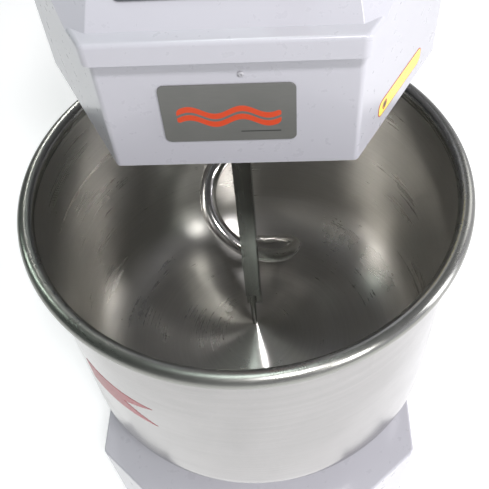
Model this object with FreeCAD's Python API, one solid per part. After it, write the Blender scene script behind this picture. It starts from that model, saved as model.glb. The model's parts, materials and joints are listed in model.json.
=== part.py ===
import FreeCAD, Part
import math
import os

V = FreeCAD.Vector

# Spiral dough mixer. Millimetres. Z is up from the floor, -Y is the front (bowl side).
# The origin is on the floor, in the middle of the overall box.

# ---- overall sizes ----
TOTAL_LENGTH = 850.0
RIM_RADIUS = 237.0
BODY_HALF = 200.0
GLAND_STANDOUT = 23.0
COVER_SHEET = 2.0
BODY_REAR = TOTAL_LENGTH / 2 - GLAND_STANDOUT - COVER_SHEET
BOWL_Y = -(TOTAL_LENGTH / 2 - RIM_RADIUS)
RIM_TO_COLUMN = 18.0
COLUMN_FRONT = BOWL_Y + RIM_RADIUS + RIM_TO_COLUMN

# ---- levels above the floor ----
FOOT_HEIGHT = 42.0
BASE_TOP = 306.0
BOWL_GAP = 12.0
BOWL_DEPTH = 332.0
HEAD_CLEARANCE = 79.0
LIP_RISE = 126.0
LEDGE_RISE = 147.0
COVER_RISE = 271.0
BOWL_BOTTOM = BASE_TOP + BOWL_GAP
RIM_Z = BOWL_BOTTOM + BOWL_DEPTH
HEAD_Z = RIM_Z + HEAD_CLEARANCE
LIP_Z = HEAD_Z + LIP_RISE
LEDGE_Z = HEAD_Z + LEDGE_RISE
TOP_Z = HEAD_Z + COVER_RISE

# ---- clearances ----
RUN = 0.05
GAP = 0.3
SCREW_CLEAR = 0.5

# ---- sheet metal body ----
SHEET = 2.5
BEND_R = 6.0
HEAD_FRONT = BOWL_Y - 49.0
FRONT_HALF = 110.6
CHAMFER_RUN = 154.0
PLATE = 12.0
BASE_PLATE = 6.0
BASE_FRONT = BOWL_Y - 212.0
BASE_FRONT_HALF = 140.0
BASE_CHAMFER = 52.0
REAR_RETURN = 26.0
SHELF_Z = HEAD_Z + PLATE

# ---- top cover ----
LIP_FRONT = 12.0
LIP_SIDE = 7.0
LEDGE_DEPTH = 15.0
SLOPE = math.radians(57.0)
FACET_HALF = 108.0
FACET_TURN = 31.0
COVER_FILLET = 3.0
LEDGE_FOLD = 4.0
SLOPE_BASE_Y = HEAD_FRONT - LIP_FRONT + LEDGE_DEPTH

# ---- bowl ----
WALL = 2.0
WALL_R = RIM_RADIUS - 12.5
BEAD_R = 8.5
CORNER_R = 68.0
HUMP_BASE_R = 104.0
HUMP_HEIGHT = 40.0
HUMP_POWER = 1.7
FLANGE_R = 130.0
FLANGE_T = 10.0

# ---- drive layout ----
SPIRAL_BEHIND = 108.0
DRIVE_INSIDE = 35.0
MOTOR_TO_REAR = 135.0
SPIRAL_Y = BOWL_Y + SPIRAL_BEHIND
DRIVE_Y = COLUMN_FRONT + DRIVE_INSIDE
MOTOR_Y = BODY_REAR - MOTOR_TO_REAR
BOWL_PULLEY_R = 157.5
DRIVE_LOWER_R = 31.5
DRIVE_UPPER_R = 71.0
SPIRAL_PULLEY_R = 35.5
PULLEY_TO_SHAFT = 42.0
RIBBED_PULLEY_R = DRIVE_Y - SPIRAL_Y - PULLEY_TO_SHAFT
MOTOR_PULLEY_R = 25.0
BOWL_SHAFT_R = 25.0
DRIVE_SHAFT_R = 15.0
SPIRAL_SHAFT_R = 20.0
MOTOR_SHAFT_R = 12.0

# ---- belts ----
VEE_PITCH = 12.0
VEE_TOP = 4.6
VEE_BOTTOM = 2.9
VEE_DEEP = 7.0
RIB_PITCH = 3.56
RIB_COUNT = 6
RIB_DEEP = 1.5
RIB_BACK = 2.4
LOWER_BELT_Z = BASE_TOP - 146.0
UPPER_BELT_Z = SHELF_Z + 107.0
RIBBED_BELT_Z = SHELF_Z + 71.0

# ---- spiral hook and breaker bar ----
HOOK_R = 56.0
HOOK_TIP_R = 29.0
HOOK_BULGE = 2.5
HOOK_SHANK_R = 14.0
HOOK_UPPER_R = 10.8
HOOK_LOWER_R = 9.5
HOOK_TIP_BAR_R = 5.4
HOOK_NECK = 57.0
HOOK_CURL_DROP = 22.0
HOOK_BELOW_HEAD = 54.0 + 1.0 / 3.0
HOOK_OFF_BOTTOM = 44.0 + 1.0 / 3.0
HOOK_HALF_SWEEP = 200.0
HOOK_FALL = HEAD_Z - HOOK_BELOW_HEAD - BOWL_BOTTOM - HOOK_OFF_BOTTOM - HOOK_NECK - HOOK_CURL_DROP
HOOK_LEAD = HOOK_FALL / 2 * 360.0 / HOOK_HALF_SWEEP
HOOK_LEFT_Z = HEAD_Z - HOOK_BELOW_HEAD - HOOK_NECK - HOOK_FALL / 2
BAR_HALF = 9.5
BAR_FRONT_END = BOWL_BOTTOM + 122.0
BAR_REAR_END = BOWL_BOTTOM + 88.0
BAR_TONGUE = 8.0
PIN_R = 4.0
PIN_END_R = 3.0
PIN_X = -2.0
PIN_END = BOWL_BOTTOM + WALL + HUMP_HEIGHT + 4.0

# ---- fasteners ----
BOLT_R = 5.0
BOLT_HEAD_AF = 17.0
BOLT_HEAD_H = 6.4
SCREW_R = 3.0
LOCK_SCREW_R = 1.5
LOCK_SCREW_X = 11.0
LOCK_SCREW_BELOW_LIP = 21.0


def box(x0, x1, y0, y1, z0, z1):
    return Part.makeBox(x1 - x0, y1 - y0, z1 - z0, V(x0, y0, z0))


def rod(x, y, z0, z1, r):
    return Part.makeCylinder(r, z1 - z0, V(x, y, z0))


def fuse(shapes):
    out = shapes[0]
    if len(shapes) > 1:
        out = out.multiFuse(shapes[1:])
    return out.removeSplitter()


def polygon(points):
    return Part.Face(Part.makePolygon(points + [points[0]]))


def turned(profile, x, y):
    face = polygon([V(r, 0, z) for r, z in profile])
    body = face.revolve(V(0, 0, 0), V(0, 0, 1), 360)
    body.translate(V(x, y, 0))
    return body


def upright_edges(shape):
    found = []
    for edge in shape.Edges:
        a = edge.Vertexes[0].Point
        b = edge.Vertexes[-1].Point
        if abs(a.x - b.x) < 0.01 and abs(a.y - b.y) < 0.01:
            found.append(edge)
    return found


def prism(points, z0, z1, corner=0.0):
    body = polygon([V(x, y, z0) for x, y in points]).extrude(V(0, 0, z1 - z0))
    if corner > 0:
        body = body.makeFillet(corner, upright_edges(body))
    return body


def offset_outline(points, distances):
    # Moves each edge of an anticlockwise outline outward by its own distance.
    lines = []
    for i, (x0, y0) in enumerate(points):
        x1, y1 = points[(i + 1) % len(points)]
        length = math.hypot(x1 - x0, y1 - y0)
        nx = (y1 - y0) / length
        ny = -(x1 - x0) / length
        lines.append((nx, ny, nx * x0 + ny * y0 + distances[i]))
    out = []
    for i, (a2, b2, c2) in enumerate(lines):
        a1, b1, c1 = lines[i - 1]
        det = a1 * b2 - a2 * b1
        out.append(((c1 * b2 - c2 * b1) / det, (a1 * c2 - a2 * c1) / det))
    return out


def head_outline(front=0.0, chamfer=0.0, side=0.0, rear=0.0):
    knee = HEAD_FRONT + CHAMFER_RUN
    points = [(-FRONT_HALF, HEAD_FRONT), (FRONT_HALF, HEAD_FRONT), (BODY_HALF, knee),
              (BODY_HALF, BODY_REAR), (-BODY_HALF, BODY_REAR), (-BODY_HALF, knee)]
    return offset_outline(points, [front, chamfer, side, rear, side, chamfer])


def base_outline(inset=0.0):
    knee = BASE_FRONT + BASE_CHAMFER
    points = [(-BASE_FRONT_HALF, BASE_FRONT), (BASE_FRONT_HALF, BASE_FRONT), (BODY_HALF, knee),
              (BODY_HALF, BODY_REAR), (-BODY_HALF, BODY_REAR), (-BODY_HALF, knee)]
    return offset_outline(points, [-inset] * 6)


def column_outline(inset=0.0):
    points = [(-BODY_HALF, COLUMN_FRONT), (BODY_HALF, COLUMN_FRONT),
              (BODY_HALF, BODY_REAR), (-BODY_HALF, BODY_REAR)]
    return offset_outline(points, [-inset] * 4)


def ring_of(count, radius, x, y, start=0.0):
    spots = []
    for i in range(count):
        a = math.radians(start + 360.0 * i / count)
        spots.append((x + radius * math.cos(a), y + radius * math.sin(a)))
    return spots


def hexagon(across, x, y, z0, z1):
    points = ring_of(6, across / math.sqrt(3), x, y)
    return prism(points, z0, z1)


def bolt(x, y, face_z, direction, shank):
    # Hexagon bolt: the head stands off face_z, against direction; the shank runs along it.
    if direction > 0:
        head = hexagon(BOLT_HEAD_AF, x, y, face_z - BOLT_HEAD_H, face_z)
        stem = rod(x, y, face_z - 1, face_z + shank, BOLT_R)
    else:
        head = hexagon(BOLT_HEAD_AF, x, y, face_z, face_z + BOLT_HEAD_H)
        stem = rod(x, y, face_z - shank, face_z + 1, BOLT_R)
    return fuse([head, stem])


def drill(shape, spots, z0, z1, r):
    return shape.cut(Part.makeCompound([rod(x, y, z0, z1, r) for x, y in spots]))


def button_screw(base, axis, shank, r=SCREW_R):
    # Domed screw head on a face, shank going in against axis.
    rise = r * 0.55
    head = Part.makeCylinder(r * 1.9, rise, base, axis)
    dome = Part.makeCone(r * 1.9, r * 1.1, rise, base + axis * rise, axis)
    stem = Part.makeCylinder(r, shank, base, axis * -1)
    socket = Part.makeCylinder(r * 0.6, rise * 1.3, base + axis * rise, axis)
    return fuse([head, dome, stem]).cut(socket)


def bearing(x, y, z0, z1, bore_r, outer_r):
    mid = (bore_r + outer_r) / 2
    half = (outer_r - bore_r) * 0.22
    dish = 1.2
    profile = [(bore_r, z0), (mid - half, z0), (mid - half, z0 + dish), (mid + half, z0 + dish),
               (mid + half, z0), (outer_r, z0), (outer_r, z1), (mid + half, z1),
               (mid + half, z1 - dish), (mid - half, z1 - dish), (mid - half, z1), (bore_r, z1)]
    return turned(profile, x, y)


# ---- belts and pulleys ----

def vee_section(centres):
    faces = []
    for z in centres:
        faces.append([(0.0, z - VEE_TOP), (0.0, z + VEE_TOP),
                      (-VEE_DEEP, z + VEE_BOTTOM), (-VEE_DEEP, z - VEE_BOTTOM)])
    return faces


def rib_centres(z):
    return [z + (i - (RIB_COUNT - 1) / 2) * RIB_PITCH for i in range(RIB_COUNT)]


def ribbed_section(z):
    root = 0.4
    half = RIB_COUNT * RIB_PITCH / 2
    points = [(RIB_BACK, z - half), (RIB_BACK, z + half), (root, z + half)]
    for c in reversed(rib_centres(z)):
        points += [(root, c + 1.3), (-RIB_DEEP, c + GAP), (-RIB_DEEP, c - GAP), (root, c - 1.3)]
    points.append((root, z - half))
    return [points]


def belt(y_a, r_a, y_b, r_b, sections):
    # Open belt between a pulley at y_a and a pulley behind it at y_b.
    ny = (r_a - r_b) / (y_b - y_a)
    nx = math.sqrt(1 - ny * ny)
    lean = math.degrees(math.asin(ny))
    loops = []
    for section in sections:
        pieces = []
        for y, r, sweep in ((y_a, r_a, -180 - 2 * lean), (y_b, r_b, 180 - 2 * lean)):
            face = polygon([V((r + s) * nx, y + (r + s) * ny, z) for s, z in section])
            pieces.append(face.revolve(V(0, y, 0), V(0, 0, 1), sweep))
        for side in (1, -1):
            face = polygon([V(side * (r_a + s) * nx, y_a + (r_a + s) * ny, z) for s, z in section])
            run = V(side * (r_b - r_a) * nx, y_b - y_a + (r_b - r_a) * ny, 0)
            pieces.append(face.extrude(run))
        loops.append(fuse(pieces))
    return loops


def groove_edge(kind, z_mid, r, count):
    # Outer contour of a grooved rim from bottom to top, as (radius, height).
    if kind == "vee":
        pitch = VEE_PITCH
        top, bottom, deep = VEE_TOP + 0.45, VEE_BOTTOM + 0.3, VEE_DEEP + 0.6
    else:
        pitch = RIB_PITCH
        top, bottom, deep = 1.5, 0.5, RIB_DEEP + 0.9
    points = []
    for i in range(count):
        c = z_mid + (i - (count - 1) / 2) * pitch
        points += [(r, c - top), (r - deep, c - bottom), (r - deep, c + bottom), (r, c + top)]
    return points


def pulley(y, z_mid, r, bore_r, kind, count, half):
    low = z_mid - half
    high = z_mid + half
    contour = [(bore_r, low), (r, low)] + groove_edge(kind, z_mid, r, count) + [(r, high), (bore_r, high)]
    body = turned(contour, 0, y)
    hub = bore_r + 15.0
    rim = r - 17.0
    if rim - hub > 15:
        web = 5.0
        for z0, z1 in ((low - 1, z_mid - web), (z_mid + web, high + 1)):
            body = body.cut(rod(0, y, z0, z1, rim).cut(rod(0, y, z0, z1, hub)))
    if rim - hub > 60:
        middle = (rim + hub) / 2
        body = drill(body, ring_of(6, middle, 0, y, 30), low, high, (rim - hub) * 0.32)
    return body


# ---- body panels ----

def open_rear(shell, z0, z1):
    half = BODY_HALF - REAR_RETURN
    return shell.cut(box(-half, half, BODY_REAR - SHEET * 3, BODY_REAR + SHEET, z0, z1))


def make_base():
    floor_z = FOOT_HEIGHT
    outer = prism(base_outline(), floor_z, BASE_TOP - BASE_PLATE, BEND_R * 2)
    inner = prism(base_outline(SHEET), floor_z - 1, BASE_TOP, BEND_R * 2 - SHEET)
    shell = outer.cut(inner)
    rim = prism(base_outline(0.5), floor_z, floor_z + SHEET, BEND_R * 2 - 0.5)
    rim = rim.cut(prism(base_outline(20.0), floor_z - 1, floor_z + 10))
    shell = fuse([shell, rim])

    top = prism(base_outline(), BASE_TOP - BASE_PLATE, BASE_TOP, BEND_R * 2)
    rounded = [e for e in top.Edges if min(v.Point.z for v in e.Vertexes) > BASE_TOP - 0.01]
    top = top.makeFillet(3.0, rounded)
    top = top.cut(rod(0, BOWL_Y, BASE_TOP - 20, BASE_TOP + 20, 66.0))
    top = top.cut(rod(0, DRIVE_Y, BASE_TOP - 20, BASE_TOP + 20, DRIVE_SHAFT_R + 5))
    top = drill(top, housing_spots(), BASE_TOP - 20, BASE_TOP - 1, BOLT_R)
    top = drill(top, flange_corners(DRIVE_Y), BASE_TOP - 20, BASE_TOP - 1, BOLT_R)
    slot = box(-150, -90, COLUMN_FRONT + 80, COLUMN_FRONT + 140, BASE_TOP - 20, BASE_TOP + 20)
    top = top.cut(slot)

    plate_low = floor_z + SHEET
    plate_high = plate_low + BASE_PLATE
    floor = prism(base_outline(SHEET + 1.5), plate_low, plate_high, BEND_R * 2 - SHEET - 1.5)
    floor = floor.cut(rod(0, BOWL_Y, 0, BASE_TOP, 110))
    ribs = []
    rib_x = BODY_HALF - 26.0
    for side in (-1, 1):
        x0 = min(side * rib_x, side * (rib_x + 6))
        rib = box(x0, x0 + 6, BASE_FRONT + 62, BODY_REAR - 30, plate_low, BASE_TOP - BASE_PLATE)
        for i in range(4):
            y = BOWL_Y + 20 + i * 130
            hole = Part.makeCylinder(34, 60, V(x0 - 20, y, BASE_TOP - 140), V(1, 0, 0))
            rib = rib.cut(hole)
        ribs.append(rib)
    cross_y = DRIVE_Y + 70
    ribs.append(box(-rib_x, rib_x, cross_y, cross_y + 6, plate_low, BASE_TOP - BASE_PLATE))
    frame = fuse([floor] + ribs)
    frame = drill(frame, foot_spots(), 0, plate_high + 10, 8.0 + GAP)
    frame = drill(frame, flange_corners(DRIVE_Y), 0, plate_high + 1, BOLT_R)
    return {"base_shell": shell, "base_top_plate": top, "base_frame": frame}


def foot_spots():
    x = BODY_HALF - 52.0
    return [(-x, BASE_FRONT + 70), (x, BASE_FRONT + 70), (-x, BODY_REAR - 45), (x, BODY_REAR - 45)]


def make_feet():
    pads = []
    stems = []
    nuts = []
    under = FOOT_HEIGHT + SHEET
    for x, y in foot_spots():
        pad = turned([(0, 0), (27, 0), (30, 3), (30, 12), (22, 18), (0, 18)], x, y)
        pads.append(pad.cut(rod(x, y, 10, 30, 8.0)))
        stem = rod(x, y, 10, under + BASE_PLATE + 22, 8.0)
        stems.append(stem)
        nut = hexagon(24.0, x, y, under - 9, under).cut(rod(x, y, 0, 100, 8.0))
        top_nut = hexagon(24.0, x, y, under + BASE_PLATE, under + BASE_PLATE + 12)
        nuts += [nut, top_nut.cut(rod(x, y, 0, 200, 8.0))]
    return {"foot_pads": Part.makeCompound(pads), "foot_stems": Part.makeCompound(stems),
            "foot_nuts": Part.makeCompound(nuts)}


def make_column():
    outer = prism(column_outline(), BASE_TOP, HEAD_Z, BEND_R)
    inner = prism(column_outline(SHEET), BASE_TOP - 1, HEAD_Z + 1, BEND_R - SHEET)
    shell = open_rear(outer.cut(inner), BASE_TOP - 1, HEAD_Z + 1)
    posts = []
    for side in (-1, 1):
        xa = side * (BODY_HALF - SHEET - 0.5)
        xb = xa - side * 60
        x0 = min(xa, xb)
        y0 = COLUMN_FRONT + 11
        post = box(x0, x0 + 60, y0, y0 + 50, BASE_TOP, HEAD_Z)
        inside = box(min(xa - side * 5, xb - side), max(xa - side * 5, xb - side), y0 + 5, y0 + 45,
                     BASE_TOP - 1, HEAD_Z + 1)
        posts.append(post.cut(inside))
    return {"column_shell": shell, "column_posts": Part.makeCompound(posts)}


def rear_screw_spots():
    x = BODY_HALF - REAR_RETURN / 2
    low = BASE_TOP + 30
    high = LIP_Z - 30
    return [(side * x, z) for side in (-1, 1) for z in (low, (low + high) / 2, high)]


def gland_centre():
    return BODY_HALF * 0.6, BASE_TOP + 46.0


def make_rear_cover():
    y = BODY_REAR
    z0 = BASE_TOP + 6
    z1 = LIP_Z - 6
    half = BODY_HALF - 4
    cover = box(-half, half, y, y + COVER_SHEET, z0, z1)
    cover = cover.makeFillet(8.0, [e for e in cover.Edges if abs(e.Length - COVER_SHEET) < 0.01])
    hoods = []
    slots = []
    for i in range(8):
        z = z0 + 130 + i * 26.0
        for x in (-BODY_HALF * 0.42, BODY_HALF * 0.42):
            outline = [V(x - 55, y + COVER_SHEET, z), V(x - 55, y + COVER_SHEET + 6, z),
                       V(x - 55, y + COVER_SHEET, z + 14)]
            hood = polygon(outline).extrude(V(110, 0, 0))
            inside = [V(x - 53.5, y - 1, z - 1), V(x - 53.5, y + COVER_SHEET + 4, z - 1),
                      V(x - 53.5, y + COVER_SHEET + 4, z + 0.5), V(x - 53.5, y + COVER_SHEET - 0.5, z + 11),
                      V(x - 53.5, y - 1, z + 11)]
            hoods.append(hood)
            slots.append(polygon(inside).extrude(V(107, 0, 0)))
    cover = fuse([cover] + hoods).cut(Part.makeCompound(slots))
    back = V(0, 1, 0)
    screws = []
    for x, z in rear_screw_spots():
        cover = cover.cut(Part.makeCylinder(SCREW_R + SCREW_CLEAR, 8, V(x, y - 2, z), back))
        screws.append(button_screw(V(x, y + COVER_SHEET, z), back, 12))
    gx, gz = gland_centre()
    cover = cover.cut(Part.makeCylinder(10.0, 8, V(gx, y - 2, gz), back))
    return {"rear_cover": cover, "rear_cover_screws": Part.makeCompound(screws)}


def drill_rear(shell):
    for x, z in rear_screw_spots():
        shell = shell.cut(Part.makeCylinder(SCREW_R, 10, V(x, BODY_REAR - 6, z), V(0, 1, 0)))
    return shell


def make_gland():
    gx, gz = gland_centre()
    y0 = BODY_REAR + COVER_SHEET
    nut = hexagon(24.0, 0, 0, 0, 7.0)
    nut = fuse([nut, rod(0, 0, 7.0, 18.0, 11.0)])
    nut = fuse([nut, turned([(0, 18.0), (11.0, 18.0), (8.4, GLAND_STANDOUT), (0, GLAND_STANDOUT)], 0, 0)])
    nut = fuse([nut, rod(0, 0, -14.0, 0.0, 10.0), hexagon(27.0, 0, 0, -10.0, -COVER_SHEET)])
    nut = nut.cut(rod(0, 0, -20, 40, 6.0))
    nut.rotate(V(0, 0, 0), V(1, 0, 0), -90)
    nut.translate(V(gx, y0, gz))
    return {"cable_gland": nut}


def make_head():
    top = LEDGE_Z - COVER_SHEET
    outer = prism(head_outline(), HEAD_Z, top, BEND_R)
    inner = prism(head_outline(-SHEET, -SHEET, -SHEET, -SHEET), HEAD_Z - 1, top + 1, BEND_R - SHEET)
    shell = open_rear(outer.cut(inner), HEAD_Z - 1, top + 1)
    gap = -SHEET
    plate = prism(head_outline(gap, gap, gap, gap), HEAD_Z, SHELF_Z, BEND_R - SHEET)
    plate = plate.cut(rod(0, SPIRAL_Y, HEAD_Z - 1, SHELF_Z + 1, 58.0))
    plate = plate.cut(rod(0, DRIVE_Y, HEAD_Z - 1, SHELF_Z + 1, DRIVE_SHAFT_R + 8))
    square = BAR_HALF + 0.4
    plate = plate.cut(box(-square, square, BOWL_Y - square, BOWL_Y + square, HEAD_Z - 1, SHELF_Z + 1))
    plate = plate.cut(box(-124, 124, MOTOR_Y - 105, MOTOR_Y + 115, HEAD_Z - 1, SHELF_Z + 1))
    plate = plate.cut(box(-170, -135, DRIVE_Y + 60, DRIVE_Y + 110, HEAD_Z - 1, SHELF_Z + 1))
    for spots in (spiral_bolt_spots(), flange_corners(DRIVE_Y), motor_plate_spots(), socket_spots()):
        plate = drill(plate, spots, HEAD_Z + 2, SHELF_Z + 1, BOLT_R)
    return {"head_shell": shell, "head_plate": plate}


def cover_solid(inset):
    outline = head_outline(LIP_FRONT - inset, LIP_SIDE - inset, LIP_SIDE - inset, LIP_SIDE - inset)
    low = LIP_Z
    body = prism(outline, low, TOP_Z - inset, BEND_R + 2 - inset)
    ledge = LEDGE_Z - inset
    reach = 900.0
    height = TOP_Z - ledge + 20
    y0 = SLOPE_BASE_Y + inset / math.sin(SLOPE) - inset / math.tan(SLOPE)
    points = [V(-reach, y0 - reach, ledge), V(-reach, y0, ledge),
              V(-reach, y0 + height / math.tan(SLOPE), ledge + height), V(-reach, y0 - reach, ledge + height)]
    wedge = polygon(points).extrude(V(2 * reach, 0, 0))
    body = body.cut(wedge)
    for side in (-1, 1):
        facet = wedge.copy()
        facet.translate(V(0, -(y0 - SLOPE_BASE_Y), 0))
        facet.translate(V(0, -SLOPE_BASE_Y, 0))
        facet.rotate(V(0, 0, 0), V(0, 0, 1), side * FACET_TURN)
        turn = math.radians(FACET_TURN)
        shift = y0 - SLOPE_BASE_Y
        facet.translate(V(side * (FACET_HALF - shift * math.sin(turn)),
                          SLOPE_BASE_Y + shift * math.cos(turn), 0))
        body = body.cut(facet)
    return body.removeSplitter()


def round_ledge(cover):
    # Rounds the outer edge of the ledge, leaving its inner crease against the slope sharp.
    soft = []
    for edge in cover.Edges:
        ends = [v.Point for v in (edge.Vertexes[0], edge.Vertexes[-1])]
        level = all(abs(p.z - LEDGE_Z) < 0.1 for p in ends)
        creased = any(abs(p.y - SLOPE_BASE_Y) < 0.5 for p in ends)
        if level and not creased:
            soft.append(edge)
    return cover.makeFillet(LEDGE_FOLD, soft)


def cover_screw_spots():
    return [(side, y) for side in (-1, 1) for y in (SPIRAL_Y + 60, BODY_REAR - 60)]


def make_cover():
    outer = round_ledge(cover_solid(0.0))
    soft = []
    for edge in outer.Edges:
        a = edge.Vertexes[0].Point
        b = edge.Vertexes[-1].Point
        on_top = min(a.z, b.z) > TOP_Z - 0.1
        on_corner = (abs(a.z - b.z) > 50 and min(a.z, b.z) > LEDGE_Z - 0.5
                     and abs(a.x + b.x) < 2 * FACET_HALF + 20)
        if on_top or on_corner:
            soft.append(edge)
    outer = outer.makeFillet(COVER_FILLET, soft)
    inner = cover_solid(COVER_SHEET).cut(box(-900, 900, -900, 900, LIP_Z - 50, LIP_Z + COVER_SHEET))
    mouth = prism(head_outline(0.4, 0.4, 0.4, 0.4), LIP_Z - 1, LIP_Z + 5, BEND_R)
    cover = outer.cut(inner).cut(mouth)
    for spot in control_holes():
        cover = cover.cut(on_slope(Part.makeCylinder(spot[2], 12, V(spot[0], spot[1], -8))))
    z = (LIP_Z + LEDGE_Z) / 2 + 1
    screws = []
    for side, y in cover_screw_spots():
        out = V(side, 0, 0)
        face = V(side * (BODY_HALF + LIP_SIDE), y, z)
        cover = cover.cut(Part.makeCylinder(SCREW_R + SCREW_CLEAR, 6, face - out * 4, out))
        screws.append(button_screw(face, out, 14))
    lock = V(LOCK_SCREW_X, HEAD_FRONT, LIP_Z - LOCK_SCREW_BELOW_LIP)
    screws.append(button_screw(lock, V(0, -1, 0), 8, LOCK_SCREW_R))
    return {"top_cover": cover, "cover_screws": Part.makeCompound(screws)}


def drill_head_sides(shell):
    z = (LIP_Z + LEDGE_Z) / 2 + 1
    for side, y in cover_screw_spots():
        hole = Part.makeCylinder(SCREW_R, 8, V(side * (BODY_HALF - 5), y, z), V(side, 0, 0))
        shell = shell.cut(hole)
    lock = V(LOCK_SCREW_X, HEAD_FRONT - 4, LIP_Z - LOCK_SCREW_BELOW_LIP)
    hole = Part.makeCylinder(LOCK_SCREW_R, 12, lock, V(0, 1, 0))
    return shell.cut(hole)


# ---- plates on the front ----

def rounded_plate(width, height, thick, corner):
    plate = box(-width / 2, width / 2, -height / 2, height / 2, 0, thick)
    return plate.makeFillet(corner, upright_edges(plate))


def make_plates():
    name = rounded_plate(116.0, 64.0, 1.5, 6.0)
    name.rotate(V(0, 0, 0), V(1, 0, 0), 90)
    name.translate(V(-2.0, HEAD_FRONT, HEAD_Z + 63))
    label = rounded_plate(96.0, 20.0, GAP, 8.0)
    label.rotate(V(0, 0, 0), V(1, 0, 0), 90)
    along = math.degrees(math.atan2(CHAMFER_RUN, BODY_HALF - FRONT_HALF))
    label.rotate(V(0, 0, 0), V(0, 0, 1), along)
    part_way = 0.5
    label.translate(V(FRONT_HALF + (BODY_HALF - FRONT_HALF) * part_way,
                      HEAD_FRONT + CHAMFER_RUN * part_way, HEAD_Z + 25))
    return {"name_plate": name, "warning_sticker": label}


# ---- controls on the slope ----
# Local frame of the slope: x across, y up the slope, z out of it.
SLOPE_UP = 72.0
FASCIA_W = 168.0
FASCIA_H = 98.0
FASCIA_T = 2.0
TIMER = (-58.0, 15.0)
SELECTOR = (-13.0, 17.0)
LAMP = (19.0, 26.0)
START = (-36.0, -27.0)
STOP = (-4.0, -27.0)
ESTOP = (52.0, -4.0)
BARREL_R = 10.9
CAP_R = 9.6
STEM_R = 3.5
PUSH = 3.0
ESTOP_PUSH = 4.0


def on_slope(shape):
    out = shape.copy()
    out.rotate(V(0, 0, 0), V(1, 0, 0), math.degrees(SLOPE))
    out.translate(V(0, SLOPE_BASE_Y + SLOPE_UP * math.cos(SLOPE), LEDGE_Z + SLOPE_UP * math.sin(SLOPE)))
    return out


def control_holes():
    holes = [(x, y, BARREL_R + 0.1) for x, y in (START, STOP, ESTOP)]
    holes += [(TIMER[0], TIMER[1], STEM_R + 1), (SELECTOR[0], SELECTOR[1], STEM_R + 1)]
    holes.append((LAMP[0], LAMP[1], 7.1))
    return holes


def make_controls():
    plate = rounded_plate(FASCIA_W, FASCIA_H, FASCIA_T, 6.0)
    for x, y, r in control_holes():
        plate = plate.cut(rod(x, y, -5, 10, r))
    marks = []
    for i in range(11):
        a = math.radians(225 - 27 * i)
        tick = box(21.5, 25.0, -0.6, 0.6, FASCIA_T, FASCIA_T + 0.3)
        tick.rotate(V(0, 0, 0), V(0, 0, 1), math.degrees(a))
        tick.translate(V(TIMER[0], TIMER[1], 0))
        marks.append(tick)
    for a in (60, 90, 120):
        tick = box(16.5, 20.0, -0.8, 0.8, FASCIA_T, FASCIA_T + 0.3)
        tick.rotate(V(0, 0, 0), V(0, 0, 1), a)
        tick.translate(V(SELECTOR[0], SELECTOR[1], 0))
        marks.append(tick)
    plate = fuse([plate] + marks)

    bezels = []
    for x, y in (START, STOP):
        ring = turned([(CAP_R + GAP, -12), (BARREL_R, -12), (BARREL_R, FASCIA_T), (13.0, FASCIA_T),
                       (13.0, FASCIA_T + 2), (12.0, FASCIA_T + 3), (CAP_R + GAP, FASCIA_T + 3)], x, y)
        bezels.append(ring)
    x, y = ESTOP
    bezels.append(turned([(CAP_R + GAP, -12), (BARREL_R, -12), (BARREL_R, FASCIA_T), (27.0, FASCIA_T),
                          (27.0, FASCIA_T + 1.5), (16.0, FASCIA_T + 3), (CAP_R + GAP, FASCIA_T + 3)], x, y))

    top = FASCIA_T
    moving = {}
    for name, (x, y) in (("start_button", START), ("stop_button", STOP)):
        tall = top + PUSH + (1.5 if name == "start_button" else 3.0)
        cap = turned([(0, -6), (CAP_R, -6), (CAP_R, tall - 1), (CAP_R - 1, tall), (0, tall)], x, y)
        moving[name] = fuse([cap, rod(x, y, -22, -5, STEM_R)])
    x, y = ESTOP
    neck = top + 3 + ESTOP_PUSH + 2
    cap = turned([(0, neck), (17, neck), (20, neck + 3), (20, neck + 8), (16, neck + 12.5), (0, neck + 14)],
                 x, y)
    moving["estop_button"] = fuse([cap, rod(x, y, -8, neck + 1, CAP_R), rod(x, y, -24, -7, STEM_R)])

    x, y = TIMER
    base = top + GAP * 2
    knob = turned([(0, base), (19, base), (19, base + 4), (15.5, base + 6), (14.5, base + 19), (0, base + 20)],
                  x, y)
    cutters = []
    for sx, sy in ring_of(14, 17.2, x, y, 0):
        cutters.append(rod(sx, sy, base + 5, base + 30, 2.2))
    knob = knob.cut(Part.makeCompound(cutters))
    pointer = box(x - 0.9, x + 0.9, y + 4, y + 15, base + 18, base + 20.6)
    knob = fuse([knob, pointer, rod(x, y, -24, base + 1, STEM_R)])
    knob.rotate(V(x, y, 0), V(0, 0, 1), 135)
    moving["timer_knob"] = knob

    x, y = SELECTOR
    dial = turned([(0, base), (14, base), (14, base + 3), (13, base + 4), (0, base + 4)], x, y)
    grip = box(x - 3.2, x + 3.2, y - 12, y + 12, base + 3, base + 16)
    grip = grip.makeFillet(2.5, upright_edges(grip))
    moving["speed_selector"] = fuse([dial, grip, rod(x, y, -22, base + 1, STEM_R)])

    x, y = LAMP
    lens = turned([(0, -20), (7, -20), (7, top), (9.5, top), (9.5, top + 2), (7.6, top + 2),
                   (6.6, top + 5), (3.6, top + 7), (0, top + 7.6)], x, y)

    blocks = []
    deep = -48.0
    for (x, y), half, near in ((START, 12, -12), (STOP, 12, -12), (ESTOP, 15, -12), (TIMER, 18, -COVER_SHEET),
                               (SELECTOR, 12, -COVER_SHEET)):
        block = box(x - half, x + half, y - half, y + half, deep, near)
        hole = rod(x, y, -32, near + 1, STEM_R + GAP)
        blocks.append(block.cut(hole))
    out = {"control_fascia": plate, "control_bezels": Part.makeCompound(bezels), "power_lamp": lens,
           "switch_blocks": Part.makeCompound(blocks)}
    out.update(moving)
    return {name: on_slope(shape) for name, shape in out.items()}


# ---- bowl group ----

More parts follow.
